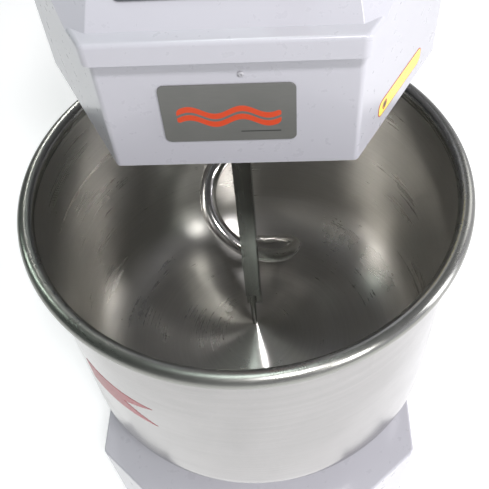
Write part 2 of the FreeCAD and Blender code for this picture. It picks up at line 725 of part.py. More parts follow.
def hump_line(half):
    # The centre cone of the floor, as (radius, height), for one face of the sheet.
    mid = BOWL_BOTTOM + WALL / 2
    steps = 12
    line = []
    for i in range(steps + 1):
        t = i / steps
        line.append((HUMP_BASE_R * t, mid + HUMP_HEIGHT * (1 - t) ** HUMP_POWER))
    out = []
    for i, (r, z) in enumerate(line):
        r0, z0 = line[max(i - 1, 0)]
        r1, z1 = line[min(i + 1, steps)]
        length = math.hypot(r1 - r0, z1 - z0)
        nr, nz = -(z1 - z0) / length, (r1 - r0) / length
        if i == 0:
            nr, nz = 0.0, 1.0 / nz
        if i == steps:
            nr, nz = 0.0, 1.0
        out.append(V(r + nr * half, 0, z + nz * half))
    return out


def spline(points, tangents=None):
    curve = Part.BSplineCurve()
    if tangents:
        curve.interpolate(Points=points, InitialTangent=tangents[0], FinalTangent=tangents[1])
    else:
        curve.interpolate(Points=points)
    return curve.toShape()


def wall_side(half, top):
    # One face of the sheet: hump, flat floor, corner arc and wall. half is + inside, - outside.
    mid = BOWL_BOTTOM + WALL / 2
    hump = hump_line(half)
    radius = CORNER_R - WALL / 2 - half
    wall_r = WALL_R - WALL / 2 - half
    centre = V(wall_r - radius, 0, mid + half + radius)
    flat_end = V(centre.x, 0, mid + half)
    turn = math.radians(-45)
    arc_mid = V(centre.x + radius * math.cos(turn), 0, centre.z + radius * math.sin(turn))
    arc_end = V(wall_r, 0, centre.z)
    fall = V(1, 0, -HUMP_POWER * HUMP_HEIGHT / HUMP_BASE_R)
    fall.normalize()
    edges = [spline(hump, (fall, V(1, 0, 0))), Part.makeLine(hump[-1], flat_end),
             Part.Arc(flat_end, arc_mid, arc_end).toShape(), Part.makeLine(arc_end, V(wall_r, 0, top))]
    return edges, hump[0], V(wall_r, 0, top)


def make_bowl():
    tube = BEAD_R - WALL / 2
    cr = RIM_RADIUS - BEAD_R
    step = WALL_R - WALL / 2 - (cr - tube)
    start = math.pi + math.acos((tube - step) / tube)
    end = -math.radians(85)
    turns = 26
    curl_out = []
    curl_in = []
    for i in range(turns + 1):
        a = start + (end - start) * i / turns
        curl_out.append(V(cr + BEAD_R * math.cos(a), 0, RIM_Z + BEAD_R * math.sin(a)))
        curl_in.append(V(cr + (BEAD_R - WALL) * math.cos(a), 0, RIM_Z + (BEAD_R - WALL) * math.sin(a)))
    throat = RIM_Z - 9.0
    inside, low_in, top_in = wall_side(WALL / 2, throat)
    outside, low_out, top_out = wall_side(-WALL / 2, throat)
    edges = inside + outside
    edges += [Part.makeLine(top_in, curl_out[0]), spline(curl_out), Part.makeLine(curl_out[-1], curl_in[-1]),
              spline(curl_in), Part.makeLine(curl_in[0], top_out), Part.makeLine(low_out, low_in)]
    wire = Part.Wire(Part.__sortEdges__(edges))
    bowl = Part.Face(wire).revolve(V(0, 0, 0), V(0, 0, 1), 360)
    bowl.translate(V(0, BOWL_Y, 0))
    return bowl


def make_decal():
    # Swallow-tailed direction arrow wrapped on the left of the bowl's wall.
    high = RIM_Z - 118.0
    low = RIM_Z - 160.0
    notch = (high + low) / 2
    start, tail, fork = -140.0, -115.0, -125.4
    thick = 0.25
    facets = 24
    skin = []
    for i in range(facets):
        a0 = start + (tail - start) * i / facets
        a1 = start + (tail - start) * (i + 1) / facets
        bands = [(a0, a1, low, high)]
        if a0 >= fork - 0.5:
            open_a = (a0 - fork + 0.6) / (tail - fork)
            half = (high - low) / 2 * open_a
            bands = [(a0, a1, notch + half, high), (a0, a1, low, notch - half)]
        for b0, b1, z0, z1 in bands:
            if z1 - z0 < 0.8:
                continue
            section = polygon([V(WALL_R, 0, z0), V(WALL_R + thick, 0, z0), V(WALL_R + thick, 0, z1),
                               V(WALL_R, 0, z1)])
            piece = section.revolve(V(0, 0, 0), V(0, 0, 1), b1 - b0)
            piece.rotate(V(0, 0, 0), V(0, 0, 1), b0)
            skin.append(piece)
    decal = fuse(skin)
    decal.translate(V(0, BOWL_Y, 0))
    return decal


BOWL_BOLT_R = 48.0
SHAFT_FLANGE_R = 60.0
HOUSING_R = 75.0
HOUSING_FLANGE_R = 105.0
HOUSING_LOW = BASE_TOP - 118.0


def housing_spots():
    return ring_of(6, 90.0, 0, BOWL_Y, 15)


def make_bowl_group():
    flange_low = BOWL_BOTTOM - FLANGE_T
    flange = rod(0, BOWL_Y, flange_low, BOWL_BOTTOM, FLANGE_R)
    flange = drill(flange, ring_of(6, BOWL_BOLT_R, 0, BOWL_Y), flange_low - 1, BOWL_BOTTOM - 2, BOLT_R)
    shaft = fuse([rod(0, BOWL_Y, LOWER_BELT_Z - 30, flange_low, BOWL_SHAFT_R),
                  rod(0, BOWL_Y, flange_low - 10, flange_low, SHAFT_FLANGE_R)])
    shaft = drill(shaft, ring_of(6, BOWL_BOLT_R, 0, BOWL_Y), flange_low - 20, flange_low + 1, BOLT_R)
    bolts = [bolt(x, y, flange_low - 10, 1, 17.0) for x, y in ring_of(6, BOWL_BOLT_R, 0, BOWL_Y)]

    low = HOUSING_LOW
    high = BASE_TOP - BASE_PLATE
    seat_r = 45.0
    well = SHAFT_FLANGE_R + 4
    profile = [(BOWL_SHAFT_R + 3, low + 24), (seat_r, low + 24), (seat_r, low), (HOUSING_R, low),
               (HOUSING_R, high - 12), (HOUSING_FLANGE_R, high - 12), (HOUSING_FLANGE_R, high), (well, high),
               (well, high - 18), (seat_r, high - 18), (seat_r, high - 38), (BOWL_SHAFT_R + 3, high - 38)]
    housing = turned(profile, 0, BOWL_Y)
    housing = drill(housing, housing_spots(), high - 20, high + 1, BOLT_R + SCREW_CLEAR)
    bearings = [bearing(0, BOWL_Y, low + 4, low + 24, BOWL_SHAFT_R + RUN, seat_r),
                bearing(0, BOWL_Y, high - 38, high - 18, BOWL_SHAFT_R + RUN, seat_r)]
    wheel = pulley(BOWL_Y, LOWER_BELT_Z, BOWL_PULLEY_R, BOWL_SHAFT_R, "vee", 3, 20.0)
    return {"bowl": make_bowl(), "bowl_decal": make_decal(), "bowl_flange": flange, "bowl_shaft": shaft,
            "bowl_bolts": Part.makeCompound(bolts), "bowl_housing": housing,
            "bowl_bearings": Part.makeCompound(bearings), "bowl_pulley": wheel}


# ---- vertical drive shaft ----

FLANGE_HALF = 50.0


def flange_corners(y):
    c = FLANGE_HALF - 14
    return [(-c, y - c), (c, y - c), (c, y + c), (-c, y + c)]


def bearing_unit(y, z, direction):
    h = FLANGE_HALF
    if direction > 0:
        body = fuse([box(-h, h, y - h, y + h, z, z + 14), rod(0, y, z, z + 34, 34.0)])
    else:
        body = fuse([box(-h, h, y - h, y + h, z - 14, z), rod(0, y, z - 34, z, 34.0)])
    body = body.makeFillet(9.0, [e for e in upright_edges(body) if abs(e.Length - 14) < 0.01])
    body = drill(body, flange_corners(y), z - 40, z + 40, BOLT_R + SCREW_CLEAR)
    return body.cut(rod(0, y, z - 50, z + 50, DRIVE_SHAFT_R + RUN))


def make_drive():
    floor_z = FOOT_HEIGHT + SHEET + BASE_PLATE
    units = [bearing_unit(DRIVE_Y, floor_z, 1), bearing_unit(DRIVE_Y, BASE_TOP - BASE_PLATE, -1),
             bearing_unit(DRIVE_Y, SHELF_Z, 1)]
    shaft = rod(0, DRIVE_Y, floor_z + 6, UPPER_BELT_Z + 20, DRIVE_SHAFT_R)
    upper = pulley(DRIVE_Y, UPPER_BELT_Z, DRIVE_UPPER_R, DRIVE_SHAFT_R, "vee", 2, 14.0)
    lower = pulley(DRIVE_Y, LOWER_BELT_Z, DRIVE_LOWER_R, DRIVE_SHAFT_R, "vee", 3, 20.0)
    low_z = [LOWER_BELT_Z + i * VEE_PITCH for i in (-1, 0, 1)]
    up_z = [UPPER_BELT_Z + i * VEE_PITCH for i in (-0.5, 0.5)]
    bowl_belts = belt(BOWL_Y, BOWL_PULLEY_R, DRIVE_Y, DRIVE_LOWER_R, vee_section(low_z))
    upper_belts = belt(SPIRAL_Y, SPIRAL_PULLEY_R, DRIVE_Y, DRIVE_UPPER_R, vee_section(up_z))
    ribbed = belt(SPIRAL_Y, RIBBED_PULLEY_R, MOTOR_Y, MOTOR_PULLEY_R, ribbed_section(RIBBED_BELT_Z))
    return {"drive_bearing_units": Part.makeCompound(units), "drive_shaft": shaft,
            "drive_pulley_upper": upper, "drive_pulley_lower": lower,
            "bowl_belts": Part.makeCompound(bowl_belts), "upper_belts": Part.makeCompound(upper_belts),
            "ribbed_belt": ribbed[0]}


# ---- spiral group ----

HOOK_FLANGE_R = 45.0
HOOK_BOLT_R = 33.0
HOOK_FLANGE_Z = HEAD_Z - 29.0


def smooth(t):
    t = min(max(t, 0.0), 1.0)
    return t * t * (3 - 2 * t)


def hook_point(angle):
    # Centre line of the hook: out from the shank, down a helix, curling in at the tip.
    fall = HOOK_LEAD / 360.0
    z = HOOK_LEFT_Z - fall * (angle - 180.0)
    r = HOOK_R * smooth((angle + 20.0) / 130.0)
    r += HOOK_BULGE * smooth((angle - 110.0) / 60.0) * (1 - smooth((angle - 190.0) / 60.0))
    if angle < 110.0:
        z += HOOK_NECK * ((110.0 - angle) / 130.0) ** 2
    r -= (HOOK_R - HOOK_TIP_R) * smooth((angle - 345.0) / 80.0)
    if angle > 380.0:
        flat = HOOK_CURL_DROP
        z = HOOK_LEFT_Z - fall * HOOK_HALF_SWEEP - flat * (1 - math.exp(-(angle - 380.0) * fall / flat))
    a = math.radians(angle)
    return V(r * math.cos(a), SPIRAL_Y + r * math.sin(a), z)


def hook_bar(angle):
    # Bar radius along the hook: thick at the shank, thinner low down, thinnest at the tip.
    bar = HOOK_SHANK_R - (HOOK_SHANK_R - HOOK_UPPER_R) * smooth((angle - 40.0) / 140.0)
    bar -= (HOOK_UPPER_R - HOOK_LOWER_R) * smooth((angle - 190.0) / 80.0)
    return bar - (HOOK_LOWER_R - HOOK_TIP_BAR_R) * smooth((angle - 325.0) / 75.0)


def make_hook():
    first, last, step = -20.0, 462.0, 6.0
    count = int((last - first) / step)
    wires = []
    side = V(1, 0, 0)
    for i in range(count + 1):
        angle = first + (last - first) * i / count
        here = hook_point(angle)
        ahead = hook_point(min(angle + 1.0, last)) - hook_point(max(angle - 1.0, first))
        if i == 0:
            ahead = V(0, 0, -1)
        ahead.normalize()
        side = side - ahead * side.dot(ahead)
        side.normalize()
        circle = Part.Circle(here, ahead, hook_bar(angle))
        circle.XAxis = side
        wires.append(Part.Wire(circle.toShape()))
    body = Part.makeLoft(wires, True, True)
    tip = Part.makeSphere(hook_bar(last) - 0.3, hook_point(last))
    top = HOOK_FLANGE_Z - 12
    collar = HOOK_SHANK_R + 0.6
    foot = hook_point(first).z - 0.6
    shank = turned([(0, foot), (collar, foot), (collar, top - 3), (HOOK_SHANK_R + 5, top + 1),
                    (HOOK_FLANGE_R, top + 1), (HOOK_FLANGE_R, HOOK_FLANGE_Z), (0, HOOK_FLANGE_Z)], 0, SPIRAL_Y)
    flange = rod(0, SPIRAL_Y, top, HOOK_FLANGE_Z, HOOK_FLANGE_R)
    hook = fuse([body, tip, shank, flange])
    spots = ring_of(4, HOOK_BOLT_R, 0, SPIRAL_Y, 45)
    hook = drill(hook, spots, top - 1, HOOK_FLANGE_Z + 1, BOLT_R + SCREW_CLEAR)
    bolts = [bolt(x, y, top, 1, 22.0) for x, y in spots]
    return hook, bolts, spots


def spiral_bolt_spots():
    return ring_of(6, 72.0, 0, SPIRAL_Y, 0)


def make_spiral():
    hook, bolts, spots = make_hook()
    shaft = fuse([rod(0, SPIRAL_Y, HOOK_FLANGE_Z, HOOK_FLANGE_Z + 12, HOOK_FLANGE_R),
                  rod(0, SPIRAL_Y, HOOK_FLANGE_Z, UPPER_BELT_Z + 20, SPIRAL_SHAFT_R)])
    shaft = drill(shaft, spots, HOOK_FLANGE_Z - 1, HOOK_FLANGE_Z + 10, BOLT_R)
    seat_r = 40.0
    low = HEAD_Z - 13.0
    high = SHELF_Z + 49.0
    wall_r = 58.0
    clear = SPIRAL_SHAFT_R + 3
    profile = [(clear, low + 22), (seat_r, low + 22), (seat_r, low), (wall_r, low), (wall_r, SHELF_Z),
               (85.0, SHELF_Z), (85.0, SHELF_Z + 12), (wall_r, SHELF_Z + 12), (wall_r, high), (seat_r, high),
               (seat_r, high - 22), (clear, high - 22)]
    housing = turned(profile, 0, SPIRAL_Y)
    housing = drill(housing, spiral_bolt_spots(), SHELF_Z - 1, SHELF_Z + 20, BOLT_R + SCREW_CLEAR)
    bearings = [bearing(0, SPIRAL_Y, low + 4, low + 22, SPIRAL_SHAFT_R + RUN, seat_r),
                bearing(0, SPIRAL_Y, high - 22, high - 4, SPIRAL_SHAFT_R + RUN, seat_r)]
    big = pulley(SPIRAL_Y, RIBBED_BELT_Z, RIBBED_PULLEY_R, SPIRAL_SHAFT_R, "ribbed", RIB_COUNT, 14.0)
    small = pulley(SPIRAL_Y, UPPER_BELT_Z, SPIRAL_PULLEY_R, SPIRAL_SHAFT_R, "vee", 2, 14.0)
    return {"spiral_hook": hook, "hook_bolts": Part.makeCompound(bolts), "spiral_shaft": shaft,
            "spiral_housing": housing, "spiral_bearings": Part.makeCompound(bearings),
            "ribbed_pulley": big, "spiral_pulley": small}


# ---- breaker bar ----

SOCKET_HALF = 30.0
SOCKET_FRONT = 34.0
SOCKET_BACK = 20.0
SOCKET_H = 44.0


def socket_spots():
    c = SOCKET_HALF - 9
    return [(-c, BOWL_Y - SOCKET_FRONT + 10), (c, BOWL_Y - SOCKET_FRONT + 10)]


def make_breaker():
    h = BAR_HALF
    y = BOWL_Y
    bar = box(-h, h, y - h, y + h, BAR_REAR_END, SHELF_Z + SOCKET_H + 6)
    bar = bar.makeFillet(1.5, upright_edges(bar))
    bar = bar.cut(box(-h - 1, h + 1, y - h - 1, y + h - BAR_TONGUE, BAR_REAR_END - 1, BAR_FRONT_END))
    pin_y = y + h - BAR_TONGUE - 1.0 - PIN_R
    seat_top = BAR_FRONT_END + 40
    bar = bar.cut(rod(PIN_X, pin_y, BAR_REAR_END - 1, seat_top, PIN_R))
    pin = fuse([rod(PIN_X, pin_y, BAR_REAR_END, seat_top, PIN_R),
                Part.makeCone(PIN_END_R, PIN_R, BAR_REAR_END - PIN_END, V(PIN_X, pin_y, PIN_END))])
    s = SOCKET_HALF
    socket = box(-s, s, y - SOCKET_FRONT, y + SOCKET_BACK, SHELF_Z, SHELF_Z + SOCKET_H)
    socket = socket.makeFillet(4.0, upright_edges(socket))
    socket = socket.cut(box(-h, h, y - h, y + h, SHELF_Z - 1, SHELF_Z + SOCKET_H + 1))
    socket = drill(socket, socket_spots(), SHELF_Z - 1, SHELF_Z + 60, BOLT_R + SCREW_CLEAR)
    side_hole = Part.makeCylinder(BOLT_R, s - h + 2, V(-s - 1, y, SHELF_Z + SOCKET_H / 2), V(1, 0, 0))
    socket = socket.cut(side_hole)
    return {"breaker_bar": bar, "breaker_pin": pin, "bar_socket": socket}


# ---- motor ----

MOTOR_R = 88.0
MOTOR_FIN = 8.0
MOTOR_LOW = HEAD_Z - 259.0
MOTOR_PLATE_T = 10.0


def motor_plate_spots():
    return [(-138.0, MOTOR_Y - 88), (138.0, MOTOR_Y - 88), (138.0, MOTOR_Y + 100), (-138.0, MOTOR_Y + 100)]


def motor_flange_spots():
    return ring_of(4, 86.0, 0, MOTOR_Y, 45)


def make_motor():
    y = MOTOR_Y
    plate_top = SHELF_Z + MOTOR_PLATE_T
    plate = box(-155, 155, y - 110, y + 122, SHELF_Z, plate_top)
    plate = plate.cut(rod(0, y, SHELF_Z - 1, plate_top + 1, 40))
    for x, sy in motor_plate_spots():
        plate = plate.cut(box(x - 5.5, x + 5.5, sy - 14, sy + 14, SHELF_Z - 1, plate_top + 1))
    plate = drill(plate, motor_flange_spots(), SHELF_Z - 1, plate_top + 1, BOLT_R + SCREW_CLEAR)

    flange_low = SHELF_Z - 12
    core_r = 50.0
    air = 0.6
    core_low = MOTOR_LOW + 55
    core_high = flange_low - 55
    bore = MOTOR_SHAFT_R + RUN
    profile = [(bore, MOTOR_LOW), (MOTOR_R, MOTOR_LOW), (MOTOR_R, flange_low), (102.0, flange_low),
               (102.0, SHELF_Z), (bore, SHELF_Z), (bore, core_high + 12), (core_r + air, core_high + 12),
               (core_r + air, core_low - 12), (bore, core_low - 12)]
    body = turned(profile, 0, y)
    fins = []
    for i in range(24):
        a = 360.0 * i / 24
        fin = box(MOTOR_R - 2, MOTOR_R + MOTOR_FIN, -1.5, 1.5, MOTOR_LOW + 12, flange_low - 14)
        fin.rotate(V(0, 0, 0), V(0, 0, 1), a + 7.5)
        fin.translate(V(0, y, 0))
        fins.append(fin)
    body = fuse([body] + fins)
    body = drill(body, motor_flange_spots(), SHELF_Z - 20, SHELF_Z + 1, BOLT_R)

    fan_z = MOTOR_LOW - 30
    cowl = rod(0, y, MOTOR_LOW - 42, MOTOR_LOW, MOTOR_R + 3)
    cowl = cowl.cut(rod(0, y, MOTOR_LOW - 40, MOTOR_LOW + 1, MOTOR_R + 1.5))
    slots = []
    for i in range(-4, 5):
        half = math.sqrt(70.0 ** 2 - (i * 15.0) ** 2)
        slots.append(box(-half, half, y + i * 15.0 - 3.5, y + i * 15.0 + 3.5, MOTOR_LOW - 50, MOTOR_LOW - 35))
    cowl = cowl.cut(Part.makeCompound(slots))
    lid = rod(0, y, MOTOR_LOW - 2, MOTOR_LOW, MOTOR_R + 2)
    lid = lid.cut(rod(0, y, MOTOR_LOW - 3, MOTOR_LOW + 1, MOTOR_R - 8))
    cowl = fuse([cowl, lid])

    hub = rod(0, y, fan_z, fan_z + 16, 22.0)
    blades = []
    for i in range(8):
        blade = box(20, 74, -1.5, 1.5, fan_z, fan_z + 16)
        blade.rotate(V(0, 0, 0), V(0, 0, 1), 45.0 * i)
        blade.translate(V(0, y, 0))
        blades.append(blade)
    rotor = fuse([rod(0, y, fan_z, RIBBED_BELT_Z + 16, MOTOR_SHAFT_R), rod(0, y, core_low, core_high, core_r),
                  hub] + blades)
    wheel = pulley(y, RIBBED_BELT_Z, MOTOR_PULLEY_R, MOTOR_SHAFT_R, "ribbed", RIB_COUNT, 14.0)

    case = box(60, MOTOR_R + 62, y - 42, y + 42, flange_low - 150, flange_low - 50)
    case = case.makeFillet(4.0, upright_edges(case))
    neck = box(MOTOR_R - 4, MOTOR_R + MOTOR_FIN + 8, y - 8, y + 8, flange_low - 140, flange_low - 60)
    case = fuse([case.cut(rod(0, y, MOTOR_LOW, SHELF_Z, MOTOR_R + MOTOR_FIN + 0.5)), neck])
    case = case.cut(rod(0, y, MOTOR_LOW, SHELF_Z, MOTOR_R))
    body = body.cut(neck.cut(rod(0, y, MOTOR_LOW, SHELF_Z, MOTOR_R)))
    return {"motor_plate": plate, "motor_body": body, "motor_fan_cowl": cowl, "motor_rotor": rotor,
            "motor_pulley": wheel, "motor_terminal_box": case}


def make_fixings():
    bolts = [bolt(x, y, BASE_TOP - BASE_PLATE - 12, 1, 17.0) for x, y in housing_spots()]
    bolts += [bolt(x, y, SHELF_Z + 12, -1, 21.0) for x, y in spiral_bolt_spots()]
    floor_z = FOOT_HEIGHT + SHEET + BASE_PLATE
    bolts += [bolt(x, y, floor_z + 14, -1, 20.0) for x, y in flange_corners(DRIVE_Y)]
    bolts += [bolt(x, y, BASE_TOP - BASE_PLATE - 14, 1, 19.0) for x, y in flange_corners(DRIVE_Y)]
    bolts += [bolt(x, y, SHELF_Z + 14, -1, 23.0) for x, y in flange_corners(DRIVE_Y)]
    bolts += [bolt(x, y, SHELF_Z + MOTOR_PLATE_T, -1, 19.0) for x, y in motor_plate_spots()]
    bolts += [bolt(x, y, SHELF_Z + MOTOR_PLATE_T, -1, 22.0) for x, y in motor_flange_spots()]
    bolts += [bolt(x, y, SHELF_Z + SOCKET_H, -1, SOCKET_H + 9) for x, y in socket_spots()]
    grub = bolt(0, 0, 0, 1, SOCKET_HALF - BAR_HALF)
    grub.rotate(V(0, 0, 0), V(0, 1, 0), 90)
    grub.translate(V(-SOCKET_HALF, BOWL_Y, SHELF_Z + SOCKET_H / 2))
    bolts.append(grub)
    return {"housing_bolts": Part.makeCompound(bolts)}


def make_electrics():
    x0 = -(BODY_HALF - SHEET) + 0.5
    y0 = COLUMN_FRONT + 90
    y1 = BODY_REAR - 40
    z0 = BASE_TOP + 110
    plate = box(x0, x0 + 2, y0, y1, z0, z0 + 250)
    units = []
    face = x0 + 2
    for i in range(3):
        y = y0 + 18 + i * 62.0
        block = box(face, face + 58, y, y + 46, z0 + 130, z0 + 205)
        step = box(face + 44, face + 70, y - 1, y + 47, z0 + 150, z0 + 185)
        units.append(block.cut(step))
    units.append(box(face, face + 48, y0 + 18, y0 + 98, z0 + 20, z0 + 92))
    units.append(box(face, face + 32, y0 + 112, y1 - 14, z0 + 30, z0 + 70))
    return {"electrical_backplate": plate, "contactors": Part.makeCompound(units)}


def build():
    nodes = {}
    makers = (make_base, make_feet, make_column, make_rear_cover, make_gland, make_head, make_cover,
              make_plates, make_controls, make_bowl_group, make_drive, make_spiral, make_breaker,
              make_motor, make_fixings, make_electrics)
    for maker in makers:
        nodes.update(maker())
    nodes["column_shell"] = drill_rear(nodes["column_shell"])
    nodes["head_shell"] = drill_head_sides(drill_rear(nodes["head_shell"]))
    return nodes


def main():
    os.makedirs("parts", exist_ok=True)
    nodes = build()
    for name in sorted(nodes):
        nodes[name].exportStep("parts/" + name + ".step")
        state = "ok" if nodes[name].isValid() else "INVALID"
        print(name, state, len(nodes[name].Solids), round(nodes[name].Volume / 1000.0, 2))
    print(len(nodes), "nodes")


main()
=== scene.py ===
import json
import math

import bpy
from mathutils import Matrix, Vector


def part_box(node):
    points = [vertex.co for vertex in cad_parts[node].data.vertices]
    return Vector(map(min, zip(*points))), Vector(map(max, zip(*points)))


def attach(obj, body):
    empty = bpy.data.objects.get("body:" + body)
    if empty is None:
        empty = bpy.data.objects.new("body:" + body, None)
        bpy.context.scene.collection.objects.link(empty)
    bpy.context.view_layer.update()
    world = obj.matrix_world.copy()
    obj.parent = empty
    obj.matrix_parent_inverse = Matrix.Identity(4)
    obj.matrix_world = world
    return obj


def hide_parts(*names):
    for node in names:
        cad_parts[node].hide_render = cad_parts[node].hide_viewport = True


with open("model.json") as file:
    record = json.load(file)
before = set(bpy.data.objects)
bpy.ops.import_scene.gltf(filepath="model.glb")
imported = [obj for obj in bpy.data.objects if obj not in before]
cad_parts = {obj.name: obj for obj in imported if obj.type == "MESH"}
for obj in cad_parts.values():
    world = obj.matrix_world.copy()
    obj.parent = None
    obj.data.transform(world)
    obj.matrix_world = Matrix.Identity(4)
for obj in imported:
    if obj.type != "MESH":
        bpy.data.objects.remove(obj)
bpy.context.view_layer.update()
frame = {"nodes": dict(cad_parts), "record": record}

# ---------------------------------------------------------------- where things are
bowl_lo, bowl_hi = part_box("bowl")
BOWL_X = (bowl_lo.x + bowl_hi.x) / 2
BOWL_Y = (bowl_lo.y + bowl_hi.y) / 2
RIM_R = (bowl_hi.x - bowl_lo.x) / 2
BEAD_R = 0.0085
RIM_Z = bowl_hi.z - BEAD_R


# ---------------------------------------------------------------- camera
CAMERA_ELEVATION = 51.6
CAMERA_YAW = 5.62
CAMERA_ROLL = -5.51
CAMERA_FROM_RIM = (0.0491, -0.5056, 0.5658)
LENS = 53.1
SENSOR = 36.0
SHIFT = (-0.0045, -0.041)


def camera_axes(elevation, yaw, roll):
    el, yw, rl = math.radians(elevation), math.radians(yaw), math.radians(roll)
    back = Vector((math.sin(yw) * math.cos(el), -math.cos(yw) * math.cos(el), math.sin(el)))
    right = (-back).cross(Vector((0, 0, 1))).normalized()
    up = right.cross(-back)
    across = right * math.cos(rl) + up * math.sin(rl)
    upward = up * math.cos(rl) - right * math.sin(rl)
    return across, upward, back


def make_camera():
    across, upward, back = camera_axes(CAMERA_ELEVATION, CAMERA_YAW, CAMERA_ROLL)
    data = bpy.data.cameras.new("camera")
    data.sensor_width = SENSOR
    data.lens = LENS
    data.shift_x, data.shift_y = SHIFT
    data.clip_start = 0.02
    data.clip_end = 50.0
    obj = bpy.data.objects.new("camera", data)
    bpy.context.scene.collection.objects.link(obj)
    place = Vector((BOWL_X, BOWL_Y, RIM_Z)) + Vector(CAMERA_FROM_RIM)
    turn = Matrix((across, upward, back)).transposed().to_4x4()
    obj.matrix_world = Matrix.Translation(place) @ turn
    bpy.context.scene.camera = obj


# ---------------------------------------------------------------- node helpers
class Mat:
    """A material with short ways to add nodes and join them."""

    def __init__(self, name):
        self.mat = bpy.data.materials.new(name)
        self.mat.use_nodes = True
        self.tree = self.mat.node_tree
        self.tree.nodes.clear()
        self.bsdf = self.add("ShaderNodeBsdfPrincipled")
        out = self.add("ShaderNodeOutputMaterial")
        self.link(self.bsdf.outputs[0], out.inputs[0])

    def add(self, kind, **props):
        node = self.tree.nodes.new(kind)
        for key, value in props.items():
            setattr(node, key, value)
        return node

    def link(self, a, b):
        self.tree.links.new(a, b)

    def put(self, socket, value):
        if isinstance(value, bpy.types.NodeSocket):
            self.link(value, socket)
        elif isinstance(value, (tuple, list)) and len(value) == 3 and len(socket.default_value) == 4:
            socket.default_value = (*value, 1.0)
        else:
            socket.default_value = value

    def set(self, **values):
        for key, value in values.items():
            self.put(self.bsdf.inputs[key.replace("_", " ")], value)

    def coords(self):
        return self.add("ShaderNodeTexCoord").outputs["Object"]

    def scaled(self, vector, scale):
        node = self.add("ShaderNodeVectorMath", operation="MULTIPLY")
        self.put(node.inputs[0], vector)
        self.put(node.inputs[1], scale)
        return node.outputs[0]

    def noise(self, vector, scale, detail=3.0, rough=0.5, distort=0.0, w=None):
        node = self.add("ShaderNodeTexNoise")
        if w is not None:
            node.noise_dimensions = "4D"
            self.put(node.inputs["W"], w)
        self.put(node.inputs["Vector"], vector)
        self.put(node.inputs["Scale"], scale)
        self.put(node.inputs["Detail"], detail)
        self.put(node.inputs["Roughness"], rough)
        self.put(node.inputs["Distortion"], distort)
        return node.outputs["Fac"]

    def span(self, value, low, high, out_low, out_high, smooth=False):
        node = self.add("ShaderNodeMapRange")
        if smooth:
            node.interpolation_type = "SMOOTHSTEP"
        for socket, v in zip(node.inputs, (value, low, high, out_low, out_high)):
            self.put(socket, v)
        return node.outputs[0]

    def math(self, operation, a, b=0.0):
        node = self.add("ShaderNodeMath", operation=operation)
        self.put(node.inputs[0], a)
        self.put(node.inputs[1], b)
        return node.outputs[0]

    def blend(self, fac, a, b):
        node = self.add("ShaderNodeMix", data_type="RGBA")
        self.put(node.inputs[0], fac)
        self.put(node.inputs[6], a)
        self.put(node.inputs[7], b)
        return node.outputs[2]

    def bump(self, height, strength, distance, before=None):
        node = self.add("ShaderNodeBump")
        self.put(node.inputs["Strength"], strength)
        self.put(node.inputs["Distance"], distance)
        self.put(node.inputs["Height"], height)
        if before is not None:
            self.put(node.inputs["Normal"], before)
        return node.outputs[0]

    def split(self, vector):
        node = self.add("ShaderNodeSeparateXYZ")
        self.put(node.inputs[0], vector)
        return node.outputs[0], node.outputs[1], node.outputs[2]

    def join(self, x, y, z):
        node = self.add("ShaderNodeCombineXYZ")
        for socket, v in zip(node.inputs, (x, y, z)):
            self.put(socket, v)
        return node.outputs[0]


def tint(colour, factor):
    return tuple(min(c * factor, 1.0) for c in colour)


# ---------------------------------------------------------------- finishes
def paint(name, colour, rough=0.2, coat=0.5, waves=1.0):
    m = Mat(name)
    at = m.coords()
    cloud = m.noise(at, 5.0, 4.0, 0.55)
    fine = m.noise(at, 90.0, 3.0, 0.6)
    base = m.blend(m.span(cloud, 0.35, 0.7, 0.0, 1.0), tint(colour, 0.985), tint(colour, 1.01))
    handled = m.span(m.noise(at, 9.0, 2.0, 0.45, 0.4), 0.45, 0.8, 0.0, 0.06, True)
    base = m.blend(handled, base, tint(colour, 0.90))
    m.set(Base_Color=base, Roughness=m.span(fine, 0.3, 0.7, rough * 0.97, rough * 1.03),
          Coat_Weight=coat, Coat_Roughness=m.span(cloud, 0.3, 0.7, 0.05, 0.14))
    sheet = m.bump(m.noise(at, 4.0, 0.0, 0.4), 0.06 * waves, 0.003)
    m.set(Normal=sheet)
    return m.mat


def brushed(name, colour, rough=0.26, stretch=(1.0, 1.0, 40.0), tangent="Z", aniso=0.6):
    m = Mat(name)
    at = m.coords()
    lines = m.noise(m.scaled(at, stretch), 60.0, 5.0, 0.7)
    cloud = m.noise(at, 12.0, 4.0, 0.6)
    base = m.blend(m.span(lines, 0.25, 0.75, 0.0, 1.0), tint(colour, 0.82), tint(colour, 1.1))
    m.set(Base_Color=base, Metallic=1.0, Anisotropic=aniso,
          Roughness=m.math("ADD", m.span(lines, 0.3, 0.7, rough * 0.75, rough * 1.25),
                           m.span(cloud, 0.35, 0.7, -0.02, 0.05)))
    way = m.add("ShaderNodeTangent", direction_type="RADIAL", axis=tangent)
    m.set(Tangent=way.outputs[0], Normal=m.bump(lines, 0.10, 0.0003))
    return m.mat


def cast(name, colour):
    m = Mat(name)
    at = m.coords()
    grain = m.noise(at, 260.0, 4.0, 0.65)
    stain = m.noise(at, 24.0, 4.0, 0.6)
    base = m.blend(m.span(stain, 0.35, 0.7, 0.0, 1.0), tint(colour, 0.8), tint(colour, 1.35))
    m.set(Base_Color=base, Metallic=0.55, Roughness=m.span(grain, 0.3, 0.7, 0.42, 0.62),
          Normal=m.bump(grain, 0.35, 0.0006))
    return m.mat


